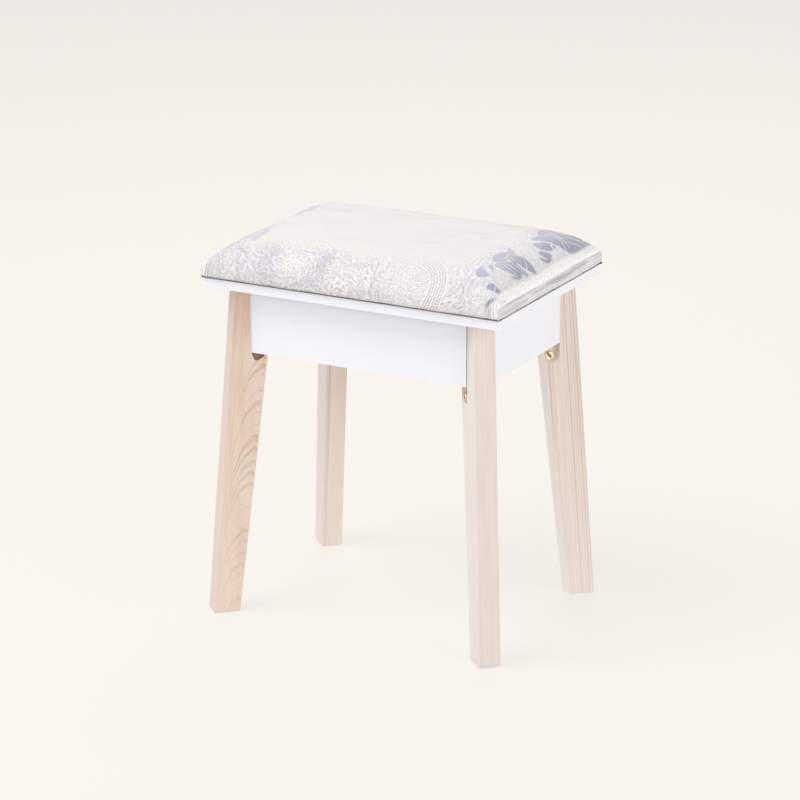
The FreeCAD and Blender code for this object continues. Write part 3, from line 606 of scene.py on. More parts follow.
def blur(A, rx, ry):
    """Smooth a grid with a bell of the given half widths, edges held."""
    for ax, r in ((0, rx), (1, ry)):
        r = int(r)
        if r < 1:
            continue
        k = np.hanning(2 * r + 3)[1:-1]
        k /= k.sum()
        pad = [(0, 0)] * A.ndim
        pad[ax] = (r, r)
        B = np.pad(A, pad, mode="edge")
        out = np.zeros_like(A)
        for t in range(2 * r + 1):
            sl = [slice(None)] * A.ndim
            sl[ax] = slice(t, t + A.shape[ax])
            out += k[t] * B[tuple(sl)]
        A = out
    return A


def stretch(A, nx, ny, k):
    """Refine a control grid k times, smoothly."""
    u = np.linspace(0, nx, nx * k + 1)
    i = np.minimum(u.astype(int), nx - 1)
    f = (u - i).reshape(-1, *([1] * (A.ndim - 1)))
    B = A[i] * (1 - f) + A[i + 1] * f
    u = np.linspace(0, ny, ny * k + 1)
    j = np.minimum(u.astype(int), ny - 1)
    f = (u - j).reshape(1, -1, *([1] * (A.ndim - 2)))
    B = B[:, j] * (1 - f) + B[:, j + 1] * f
    return blur(B, k, k)


def cloth_folds(nx, ny, start_in=0.004, voxel=0.005, pressure=4.0, frames=13, cap=0.006, slack=0.05):
    """Blow up a slightly small closed pad as cloth, with loose cloth at the corners, and give how each
    control point moved. The border is held where it is stapled."""
    P, p, q = pad_grid(nx, ny)
    S = P.copy()
    S[..., 0] *= 1 - start_in / PAD_X
    S[..., 1] *= 1 - start_in / PAD_Y
    S[..., 2] = BOARD_TOP + (S[..., 2] - BOARD_TOP) * (1 - start_in / PAD_H)
    me = bpy.data.meshes.new("pad_start")
    faces = [tuple(int(v) for v in f) for f in grid_quads(nx, ny)]
    faces.append(tuple(rim_of(nx, ny)[::-1]))
    me.from_pydata(S.reshape(-1, 3).tolist(), [], faces)
    ob = bpy.data.objects.new("pad_start", me)
    scene.collection.objects.link(ob)
    r = ob.modifiers.new("voxels", "REMESH")
    r.mode = "VOXEL"
    r.voxel_size = voxel
    dg = bpy.context.evaluated_depsgraph_get()
    me2 = bpy.data.meshes.new_from_object(ob.evaluated_get(dg))
    bpy.data.objects.remove(ob)
    pad = bpy.data.objects.new("pad_cloth", me2)
    scene.collection.objects.link(pad)
    n = len(me2.vertices)
    a = np.empty(n * 3, np.float32)
    me2.vertices.foreach_get("co", a)
    a = a.reshape(-1, 3).astype(float)
    hold = pad.vertex_groups.new(name="hold")
    hold.add([int(i) for i in np.nonzero(a[:, 2] < BOARD_TOP + 0.0035)[0]], 1.0, "REPLACE")
    ex = np.clip((np.abs(a[:, 0]) - (PAD_X - 0.075)) / 0.055, 0, 1)
    ey = np.clip((np.abs(a[:, 1]) - (PAD_Y - 0.065)) / 0.05, 0, 1)
    wall = np.clip((BOARD_TOP + 0.034 - a[:, 2]) / 0.022, 0, 1)
    loose = np.round(np.maximum(np.clip(ex * ey * 1.6, 0, 1), 0.55 * wall) * 20).astype(int)
    g = pad.vertex_groups.new(name="loose")
    for k in range(1, 21):
        idx = [int(i) for i in np.nonzero(loose == k)[0]]
        if idx:
            g.add(idx, k / 20.0, "REPLACE")
    m = pad.modifiers.new("cloth", "CLOTH")
    s = m.settings
    s.quality = 5
    s.mass = 0.2
    s.tension_stiffness = s.compression_stiffness = 12.0
    s.shear_stiffness = 4.0
    s.bending_stiffness = 0.4
    s.use_pressure = True
    s.uniform_pressure_force = pressure
    s.effector_weights.gravity = 0.0
    s.vertex_group_mass = "hold"
    s.vertex_group_shrink = "loose"
    s.shrink_min = 0.0
    s.shrink_max = -slack
    m.point_cache.frame_start, m.point_cache.frame_end = 1, frames
    for f in range(1, frames + 1):
        scene.frame_set(f)
    dg = bpy.context.evaluated_depsgraph_get()
    b = np.empty(n * 3, np.float32)
    pad.evaluated_get(dg).data.vertices.foreach_get("co", b)
    b = b.reshape(-1, 3).astype(float)
    scene.frame_set(1)
    bpy.data.objects.remove(pad)
    d = b - a
    L = np.linalg.norm(d, axis=1)
    d *= np.minimum(1.0, cap / np.maximum(L, 1e-9))[:, None]
    kd = KDTree(n)
    for i in range(n):
        kd.insert(a[i], i)
    kd.balance()
    D = np.zeros_like(S)
    for i in range(nx + 1):
        for j in range(ny + 1):
            w, acc = 0.0, np.zeros(3)
            for _, k, dist in kd.find_n(S[i, j], 5):
                ww = 1.0 / (dist * dist + 1e-6)
                acc += d[k] * ww
                w += ww
            D[i, j] = acc / w
    return blur(S + D - P, 1, 1)


def bell(x, c, w):
    return np.exp(-((x - c) / w) ** 2)


def ramp01(x, a, b):
    t = np.clip((x - a) / (b - a), 0, 1)
    return t * t * (3 - 2 * t)


def sewn_folds(P, N, s, t):
    """Gathers, tucks and pull folds, as movement along the normal, in metres. s, t are cloth millimetres."""
    A = np.zeros(s.shape)
    edge_s, edge_t = LX * 1000, LY * 1000
    wall_y = ramp01(np.abs(t), edge_t - 34, edge_t - 14)          # on the front and back walls
    wall_x = ramp01(np.abs(s), edge_s - 34, edge_s - 18)          # on the end bands
    x, y = P[..., 0] * 1000, P[..., 1] * 1000
    # upright gathers beside each corner, on the front and back walls
    for sx, sy, ph, amp, reach in ((1, -1, 0.0, 1.0, 1.0), (-1, -1, 0.35, 0.75, 0.8), (1, 1, 0.2, 0.9, 1.1), (-1, 1, 0.6, 0.9, 0.9)):
        u = sx * x
        zone = ramp01(u, 182, 187) * (1 - ramp01(u, 200.5, 203)) * (sy * y > 0)
        up = ramp01(np.abs(t), edge_t - 40 * reach, edge_t - 16)
        lean = (edge_t - np.abs(t)) * 0.10
        wave = np.cos(2 * math.pi * ((u + lean) / 4.7 + ph))
        A += 0.85 * amp * zone * up * np.clip(wave * 1.3 - 0.1, -0.7, 1.0)
        # the tuck that closes the corner
        A -= 1.1 * amp * bell(u, 184.5 - 0.08 * (edge_t - np.abs(t)), 1.5) * up * (sy * y > 0)
    # lengthwise folds of the end bands, strongest at the near corners
    for sx in (1, -1):
        along = sx * s
        fade = 0.35 + 0.65 * np.exp(-(edge_t * 0.80 - np.abs(t)).clip(0) / 55.0)
        drift = 1.4 * np.sin(t / 37.0 + sx) + 0.7 * np.sin(t / 17.0 + 2 * sx)
        for c, w, a in ((216.5, 1.5, -0.75), (221.5, 1.8, 0.55), (226.0, 1.4, -0.45)):
            A += a * fade * bell(along, c + 0.35 * drift, w) * (1 - ramp01(np.abs(t), 142, 150))
    # pull folds down the front, towards the staples
    for c, t0, t1, w, a, lean in ((-40, -104, -160, 5.0, -0.75, 0.10), (-31, -108, -158, 4.5, 0.45, 0.10), (-112, -112, -170, 6.5, -0.85, -0.22), (-126, -118, -170, 5.0, 0.5, -0.22),
                                  (38, -122, -170, 5.0, -0.45, -0.08), (96, -118, -168, 5.5, -0.5, 0.15), (142, -120, -168, 5.0, -0.4, 0.2), (-166, -120, -170, 5.0, -0.5, -0.3), (-78, -126, -170, 4.5, 0.4, -0.1), (4, -124, -170, 5.0, 0.4, 0.05)):
        mid, half = (t0 + t1) / 2, abs(t1 - t0) / 2
        body = np.clip(1 - ((t - mid) / half) ** 2, 0, 1)
        A += a * body * bell(s, c + lean * (t - mid), w)
        A += a * body * bell(-s, c + lean * (-t - mid) * 1.1 + 9, w) * (t > 0) * 0.8
    # staples draw the lower edge in
    pulls = 0.5 * np.cos(2 * math.pi * x / 50.0) * wall_y + 0.5 * np.cos(2 * math.pi * y / 46.0) * wall_x * (1 - wall_y)
    low = np.maximum(ramp01(np.abs(t), edge_t - 16, edge_t - 3), ramp01(np.abs(s), edge_s - 16, edge_s - 3))
    A -= 0.7 * pulls * low
    # slow unevenness of the stuffing
    A += 0.35 * np.sin(s / 31.0 + 0.8) * np.sin(t / 26.0 - 0.5) + 0.22 * np.sin(s / 17.0 - t / 29.0 + 1.7)
    return A * 0.001


# ------------------------------------------------------------------ cushion cover: woven pattern


class Weave:
    """The woven pattern, drawn on a fine raster of the flat cloth, in millimetres from its middle."""

    def __init__(self, half_s, half_t, ns, nt):
        self.hs, self.ht, self.ns, self.nt = half_s, half_t, ns, nt
        self.ds, self.dt = 2 * half_s / (ns - 1), 2 * half_t / (nt - 1)
        z = lambda v: np.full((self.ns, self.nt), v, np.float32)
        self.ground, self.line, self.tone, self.relief = z(0.0), z(0.0), z(0.35), z(0.15)
        self.flat, self.gap_shadow = z(0.0), z(0.0)

    def window(self, x0, x1, y0, y1):
        i0, i1 = max(0, int((x0 + self.hs) / self.ds)), min(self.ns, int((x1 + self.hs) / self.ds) + 2)
        j0, j1 = max(0, int((y0 + self.ht) / self.dt)), min(self.nt, int((y1 + self.ht) / self.dt) + 2)
        if i0 >= i1 or j0 >= j1:
            return None
        X = (np.arange(i0, i1) * self.ds - self.hs)[:, None]
        Y = (np.arange(j0, j1) * self.dt - self.ht)[None, :]
        return (slice(i0, i1), slice(j0, j1)), X, Y

    def lay(self, sl, m, ground, line, tone, relief):
        for a, v in ((self.ground, ground), (self.line, line), (self.tone, tone), (self.relief, relief)):
            a[sl] = a[sl] * (1 - m) + m * v

    def leaf(self, x, y, ang, length, wide, bend=0.0, veins=2.4, ground=0.0, tone=0.5, lobes=0.0, rim=0.9, relief=1.0, tip=1.0, rib=0.8):
        """A pointed leaf from its stalk at (x, y)."""
        r = length * 1.08 + abs(bend) * length
        w = self.window(x - r, x + r, y - r, y + r)
        if w is None:
            return
        sl, X, Y = w
        c, s = math.cos(ang), math.sin(ang)
        u = (X - x) * c + (Y - y) * s
        v = -(X - x) * s + (Y - y) * c - bend * u * u / length
        a = np.clip(u / length, 0.0, 1.0)
        half = wide * np.sin(math.pi * a ** (0.72 * tip)) ** 0.85
        if lobes:
            half = half * (1 - lobes * (0.5 + 0.5 * np.cos(a * length / 3.1 * 2 * math.pi)) * (a > 0.12))
        d = np.minimum(half - np.abs(v), np.minimum(u, length - u) + 0.4)
        m = np.clip(d / 0.6 + 0.5, 0, 1)
        if not m.any():
            return
        pale = np.clip((0.95 - d) / 0.5, 0, 1) * rim
        line = 0.85 * rim * np.exp(-((d - 1.2) / 0.42) ** 2)
        if rib:
            line = np.maximum(line, rib * np.exp(-(v / 0.40) ** 2) * (a > 0.05) * (a < 0.9))
        if veins:
            ph = (u - np.abs(v) * 1.25) / veins
            fr = np.abs(ph - np.round(ph)) * veins
            line = np.maximum(line, 0.5 * np.exp(-(fr / 0.34) ** 2) * (d > 1.2))
        dome = np.sqrt(np.clip(1 - (v / np.maximum(half, 0.3)) ** 2, 0, 1))
        body = tone + 0.1 * dome
        if ground >= 0.2:
            self.lay(sl, m, ground, 0.0, body, 0.0)
        else:
            self.lay(sl, m, ground, line * (1 - pale), body + (1.0 - body) * pale, relief * (0.35 + 0.25 * dome + 0.4 * pale))

    def stroke(self, pts, wide, ground=0.0, line=0.0, tone=0.9, relief=1.0, taper=True):
        """A curved yarn line through points, thinner at its ends."""
        pts = smooth_line(pts, 14)
        x0, y0 = pts.min(0) - wide * 2; x1, y1 = pts.max(0) + wide * 2
        w = self.window(x0, x1, y0, y1)
        if w is None:
            return
        sl, X, Y = w
        best = np.full((X.shape[0], Y.shape[1]), 1e9, np.float32)
        n = len(pts) - 1
        for k in range(n):
            ax, ay = pts[k]; bx, by = pts[k + 1]
            dx, dy = bx - ax, by - ay
            t = np.clip(((X - ax) * dx + (Y - ay) * dy) / max(dx * dx + dy * dy, 1e-9), 0, 1)
            g = (k + 0.5) / n
            ww = wide * (math.sin(math.pi * min(max(g, 0.04), 0.96)) ** 0.6 if taper else 1.0)
            best = np.minimum(best, np.hypot(X - ax - t * dx, Y - ay - t * dy) - ww)
        m = np.clip(0.5 - best / 0.6, 0, 1)
        self.lay(sl, m, ground, line, tone, relief)

    def ring(self, cx, cy, r0, r1, a0, a1, stretch=1.0, fade=12.0):
        """A ribbon with two rails and a net of beads between them, over part of a circle."""
        R = r1 * max(1.0, stretch) + 3
        w = self.window(cx - R, cx + R, cy - R, cy + R)
        sl, X, Y = w
        dx, dy = X - cx, (Y - cy) / stretch
        r = np.hypot(dx, dy)
        th = np.degrees(np.arctan2(dy, dx))
        mid = (a0 + a1) / 2
        off = np.abs((th - mid + 180) % 360 - 180)
        arc = np.clip(((a1 - a0) / 2 - off) / fade, 0, 1)
        m = arc * np.clip((r - r0) / 0.6 + 0.5, 0, 1) * np.clip((r1 - r) / 0.6 + 0.5, 0, 1)
        wide = r1 - r0
        n = (r - r0) / wide
        s = np.radians(th) * (r0 + r1) / 2
        # pale rails with dark lines beside them, two rows of beads, and a scalloped middle band
        pale = np.zeros_like(r)
        line = np.zeros_like(r)
        for k, ww in ((0.03, 0.9), (0.34, 0.7), (0.66, 0.7), (0.97, 0.9)):
            e = np.abs(n - k) * wide
            pale = np.maximum(pale, np.clip((ww + 0.3 - e) / 0.5, 0, 1))
            line = np.maximum(line, 0.9 * np.exp(-((e - ww - 0.75) / 0.45) ** 2))
        for row in (0.185, 0.815):
            fx = s / 3.4
            fx = (fx - np.round(fx)) * 3.4
            bead = np.hypot(fx, (n - row) * wide)
            pale = np.maximum(pale, np.clip((1.35 - bead) / 0.5, 0, 1))
            line = np.maximum(line, 0.55 * np.exp(-((bead - 1.9) / 0.5) ** 2))
        sc = np.abs(((s / 6.4) % 1) - 0.5) * 2
        e = np.abs((n - 0.5) * wide - (1.9 * sc - 0.95))
        pale = np.maximum(pale, np.clip((1.1 - e) / 0.5, 0, 1))
        line = np.maximum(line, 0.6 * np.exp(-((e - 1.6) / 0.45) ** 2) * (n > 0.36) * (n < 0.64))
        self.lay(sl, m, 0.0, line * (1 - pale), 0.28 + 0.72 * pale, 0.3 + 0.7 * pale)

    def petals(self, cx, cy, n, r0, length, wide, turn=0.0, bend=0.0, **kw):
        for k in range(n):
            a = turn + 2 * math.pi * k / n
            self.leaf(cx + r0 * math.cos(a), cy + r0 * math.sin(a), a, length, wide, bend=bend, **kw)

    def frond(self, pts, count, length, wide, spread=0.75, tone=0.5, both=True, stem=0.9, swell=True, lobes=0.0, flip=1):
        """Leaflets along a curved stem, the tip one last."""
        c = smooth_line(pts, 40)
        seg = np.r_[0, np.cumsum(np.hypot(*np.diff(c, axis=0).T))]
        for k in range(count):
            g = (k + 0.3) / count
            q = g * seg[-1]
            px, py = np.interp(q, seg, c[:, 0]), np.interp(q, seg, c[:, 1])
            qx, qy = np.interp(q + 0.5, seg, c[:, 0]), np.interp(q + 0.5, seg, c[:, 1])
            t = math.atan2(qy - py, qx - px)
            sz = (0.55 + 0.45 * math.sin(math.pi * min(1.0, g * 1.15 + 0.1))) if swell else 1.0
            for side in ((1, -1) if both else (flip,)):
                self.leaf(px, py, t + side * spread * (1.1 - 0.35 * g), length * sz, wide * sz, bend=-side * 0.22, tone=tone, lobes=lobes)
        self.leaf(c[-1, 0], c[-1, 1], math.atan2(*(c[-1] - c[-3])[::-1]), length * 0.8, wide * 0.8, tone=tone)
        self.stroke(pts, stem, tone=0.85, line=0.15)

    def scroll(self, cx, cy, r, turns, start, hand=1, leaves=9, length=11.0, wide=3.4, tone=0.55):
        """A spiral stem with leaflets on its outer side."""
        pts = []
        for k in range(26):
            g = k / 25.0
            a = start + hand * g * turns * 2 * math.pi
            rr = r * (1 - g) ** 0.85 + 1.2
            pts.append((cx + rr * math.cos(a), cy + rr * math.sin(a)))
        pts = np.array(pts)
        for k in range(leaves):
            g = 0.62 * (1 - k / leaves)
            a = start + hand * g * turns * 2 * math.pi
            rr = r * (1 - g) ** 0.85 + 1.2
            x, y = cx + rr * math.cos(a), cy + rr * math.sin(a)
            self.leaf(x, y, a - hand * 0.9, length * (1 - 0.35 * g), wide * (1 - 0.3 * g), bend=hand * 0.35, tone=tone, lobes=0.12)
        self.stroke(pts, 1.5, tone=0.4, line=0.6, taper=False)
        self.stroke(pts, 0.75, tone=0.95, line=0.0, taper=False)
        self.petals(cx, cy, 6, 0.6, 3.6, 1.5, tone=0.8, veins=0, rib=0)


def smooth_line(pts, per):
    """Smooth line through points."""
    p = np.asarray(pts, float)
    if len(p) > 20:
        return p
    e = np.vstack([2 * p[0] - p[1], p, 2 * p[-1] - p[-2]])
    out = []
    for i in range(1, len(e) - 2):
        a, b, c, d = e[i - 1], e[i], e[i + 1], e[i + 2]
        for t in np.linspace(0, 1, per, endpoint=False):
            out.append(0.5 * ((2 * b) + (c - a) * t + (2 * a - 5 * b + 4 * c - d) * t ** 2 + (3 * b - a - 3 * c + d) * t ** 3))
    out.append(p[-1])
    return np.array(out)


def end_cluster(w, m, strength):
    """Open satin grounds between tall leaves, at one end of the seat. m maps a point and its turn onto the cloth."""
    def leaf(x, y, ang, *a, **k):
        x, y, s = m(x, y)
        w.leaf(x, y, ang + s, *a, **k)
    def stroke(pts, *a, **k):
        w.stroke([m(x, y)[:2] for x, y in pts], *a, **k)
    G = dict(ground=strength, veins=0, rib=0, rim=0, tone=0.2)
    # large ground in the upper part
    leaf(167, 26, 1.56, 62, 15.0, bend=0.05, **G)
    leaf(178, 66, 1.50, 64, 21.0, bend=-0.02, **G)
    leaf(160, 60, 1.75, 50, 12.0, bend=0.08, **G)
    leaf(192, 96, 1.42, 56, 10.5, bend=-0.10, **G)
    # lenses and ovals below it
    leaf(184, 9, 1.52, 28, 9.5, **G)
    leaf(152, -17, 1.55, 16, 5.0, **G)
    leaf(161, -30, 0.25, 40, 10.5, bend=-0.06, **G)
    leaf(196, -42, 3.05, 34, 7.5, bend=0.03, **G)
    leaf(157, -66, 1.62, 52, 8.5, bend=-0.05, **G)
    leaf(176, -78, 1.40, 44, 15.5, bend=0.06, **G)
    leaf(164, -76, 1.1, 30, 8.0, bend=0.02, **G)
    leaf(160, -114, 1.48, 38, 9.8, bend=0.10, **G)
    leaf(183, -132, 1.30, 28, 9.0, bend=-0.14, **G)
    leaf(196, -150, 1.25, 32, 3.6, bend=-0.15, **G)
    leaf(188, -158, 1.15, 26, 2.8, bend=-0.10, **G)
    # thin yarn lines that cross them
    V = dict(tone=0.95, relief=1.0)
    for pts, wd in (
        ([(146, 88), (160, 87), (176, 86), (190, 84)], 1.1),
        ([(150, 76), (166, 80), (182, 77), (194, 70)], 0.7),
        ([(160, 34), (166, 50), (176, 60), (190, 62)], 1.3),
        ([(172, 62), (176, 54), (184, 50), (190, 54)], 1.2),
        ([(172, 88), (178, 104), (188, 118), (200, 128)], 0.9),
        ([(180, 84), (186, 98), (196, 108), (204, 112)], 0.7),
        ([(164, 96), (170, 108), (176, 116)], 0.8),
        ([(152, 60), (158, 70), (160, 84)], 0.7),
        ([(160, -57), (172, -56), (186, -52)], 0.9),
        ([(160, -64), (174, -63), (190, -60)], 0.9),
        ([(158, -71), (170, -70), (182, -68)], 0.8),
        ([(164, -52), (176, -46), (192, -44)], 0.6),
        ([(154, -24), (160, -38), (162, -54)], 0.8),
        ([(176, -20), (184, -28), (190, -38)], 0.6),
        ([(158, -84), (166, -92), (170, -104)], 0.7),
        ([(184, -112), (188, -120), (192, -128)], 0.7),
    ):
        stroke(pts, wd, **V)
    # tall leaves between the grounds
    for x, y, a, L, W, b in (
        (149, -12, 0.62, 44, 5.5, -0.18), (150, -6, 1.05, 38, 4.6, 0.20), (196, -8, 2.30, 34, 5.2, 0.2), (174, -40, 0.10, 30, 2.8, 0.1),
        (150, 22, 0.95, 30, 4.6, 0.22), (200, 30, 2.0, 30, 5.2, -0.2), (168, -84, 0.55, 30, 4.2, 0.2), (150, -84, -0.55, 40, 4.2, -0.16),
        (200, -98, 2.2, 30, 4.6, -0.1), (176, -106, -0.35, 28, 4.4, 0.15), (204, -64, 1.7, 34, 3.4, 0.1), (203, 44, 1.6, 44, 3.8, 0.08),
        (172, -140, 0.4, 28, 4.4, 0.2), (150, 28, 1.9, 26, 4.0, -0.1), (170, 10, 0.3, 22, 4.0, 0.2), (168, 2, -0.35, 26, 4.0, -0.2),
    ):
        leaf(x, y, a, L, W, bend=b, tone=0.62, lobes=0.10, veins=2.2)


def damask(hs, ht, ns, nt):
    w = Weave(hs, ht, ns, nt)
    rng = np.random.default_rng(41)
    # bed of small foliage that follows slow whorls
    eyes = [(72, -143, 1), (-78, -128, -1), (0, -20, 1), (-72, 143, 1), (78, 128, -1), (140, 20, -1), (-140, -20, -1), (10, 150, 1), (-10, -165, -1), (-200, -150, 1), (200, 150, 1), (-205, 90, -1), (205, -90, -1)]
    pts = []
    for gx in np.arange(-hs - 4, hs + 6, 7.0):
        for gy in np.arange(-ht - 4, ht + 6, 7.0):
            pts.append((gx + rng.uniform(-2.6, 2.6), gy + rng.uniform(-2.6, 2.6)))
    pts = np.array(pts)
    order = rng.permutation(len(pts))
    for x, y in pts[order]:
        fx = fy = 0.0
        for ex, ey, h in eyes:
            d2 = (x - ex) ** 2 + (y - ey) ** 2 + 120.0
            k = 1.0 / d2 ** 1.1
            fx += -h * (y - ey) * k + 0.35 * (x - ex) * k
            fy += h * (x - ex) * k + 0.35 * (y - ey) * k
        a = math.atan2(fy, fx) + rng.uniform(-0.5, 0.5)
        L = rng.uniform(9.5, 18.0)
        w.leaf(x - 0.4 * L * math.cos(a), y - 0.4 * L * math.sin(a), a, L, L * rng.uniform(0.19, 0.30), bend=rng.uniform(-0.4, 0.4),
               tone=rng.uniform(0.1, 0.6), lobes=0.12, veins=rng.uniform(1.7, 2.4), rim=rng.uniform(0.7, 1.0))
    # scrolls and fronds over it
    two = lambda f: (f(1), f(-1))
    for sg in (1, -1):
        P = lambda x, y: (sg * x, sg * y)
        turn = 0.0 if sg == 1 else math.pi
        w.scroll(*P(36, -70), 22, 1.35, 0.5 + turn, 1, 11, 15, 4.6)
        w.scroll(*P(-34, -74), 20, 1.3, 2.4 + turn, -1, 10, 14, 4.2)
        w.scroll(*P(112, -52), 17, 1.3, 3.6 + turn, 1, 9, 12, 3.8)
        w.scroll(*P(-118, -78), 18, 1.25, -0.4 + turn, -1, 9, 13, 4.0)
        w.scroll(*P(96, 44), 18, 1.3, 2.0 + turn, -1, 9, 13, 4.0)
        w.scroll(*P(-160, -132), 15, 1.2, 1.0 + turn, 1, 8, 12, 3.6)
        w.frond([P(-8, -120), P(-4, -92), P(6, -70), P(2, -44)], 9, 15, 4.4, tone=0.6)
        w.frond([P(58, -106), P(84, -92), P(110, -86), P(134, -92)], 9, 13, 3.8, tone=0.55)
        w.frond([P(-58, -104), P(-88, -98), P(-112, -106), P(-140, -102)], 9, 13, 3.8, tone=0.5)
        w.frond([P(52, 8), P(72, 14), P(94, 10), P(122, 18)], 8, 12, 3.6, tone=0.55)
        w.frond([P(20, -150), P(10, -136), P(-6, -132), P(-26, -138)], 7, 10, 3.2, tone=0.6)
        w.frond([P(-150, -44), P(-140, -16), P(-150, 12), P(-140, 40)], 9, 13, 4.0, tone=0.55)
        # rosette and the scalloped ribbon round a fan of leaves
        cx, cy = P(-78, -134)
        w.petals(cx, cy, 10, 4.0, 17, 4.6, turn=0.2 + turn, tone=0.6, lobes=0.1)
        w.petals(cx, cy, 7, 1.5, 9.5, 3.4, turn=0.5 + turn, tone=0.8)
        w.petals(cx, cy, 6, 0.0, 3.4, 1.5, tone=0.95, veins=0, rib=0)
        cx, cy = P(72, -145)
        w.petals(cx, cy, 15, 18.0, 21, 4.6, turn=0.1 + turn, bend=0.12, tone=0.55, lobes=0.12)
        w.petals(cx, cy, 11, 7.0, 15, 4.0, turn=0.3 + turn, bend=-0.1, tone=0.65, lobes=0.1)
        w.petals(cx, cy, 8, 1.0, 8.5, 3.0, turn=turn, tone=0.8)
        w.ring(cx - sg * 4, cy, 38.0, 60.0, -74 + math.degrees(turn), 66 + math.degrees(turn), stretch=0.96)
    # middle of the seat
    w.petals(0, 0, 14, 14, 20, 5.0, turn=0.2, tone=0.55, lobes=0.12)
    w.petals(0, 0, 9, 5, 14, 4.6, turn=0.0, tone=0.65, lobes=0.1)
    w.petals(0, 0, 7, 0.5, 7.5, 2.8, turn=0.4, tone=0.85)
    # silvery ends with open grounds
    end_cluster(w, lambda x, y: (x, y, 0.0), 1.0)
    end_cluster(w, lambda x, y: (-x, -y, math.pi), 0.42)
    cloth_tone_and_painted_light(w, rng)
    return w


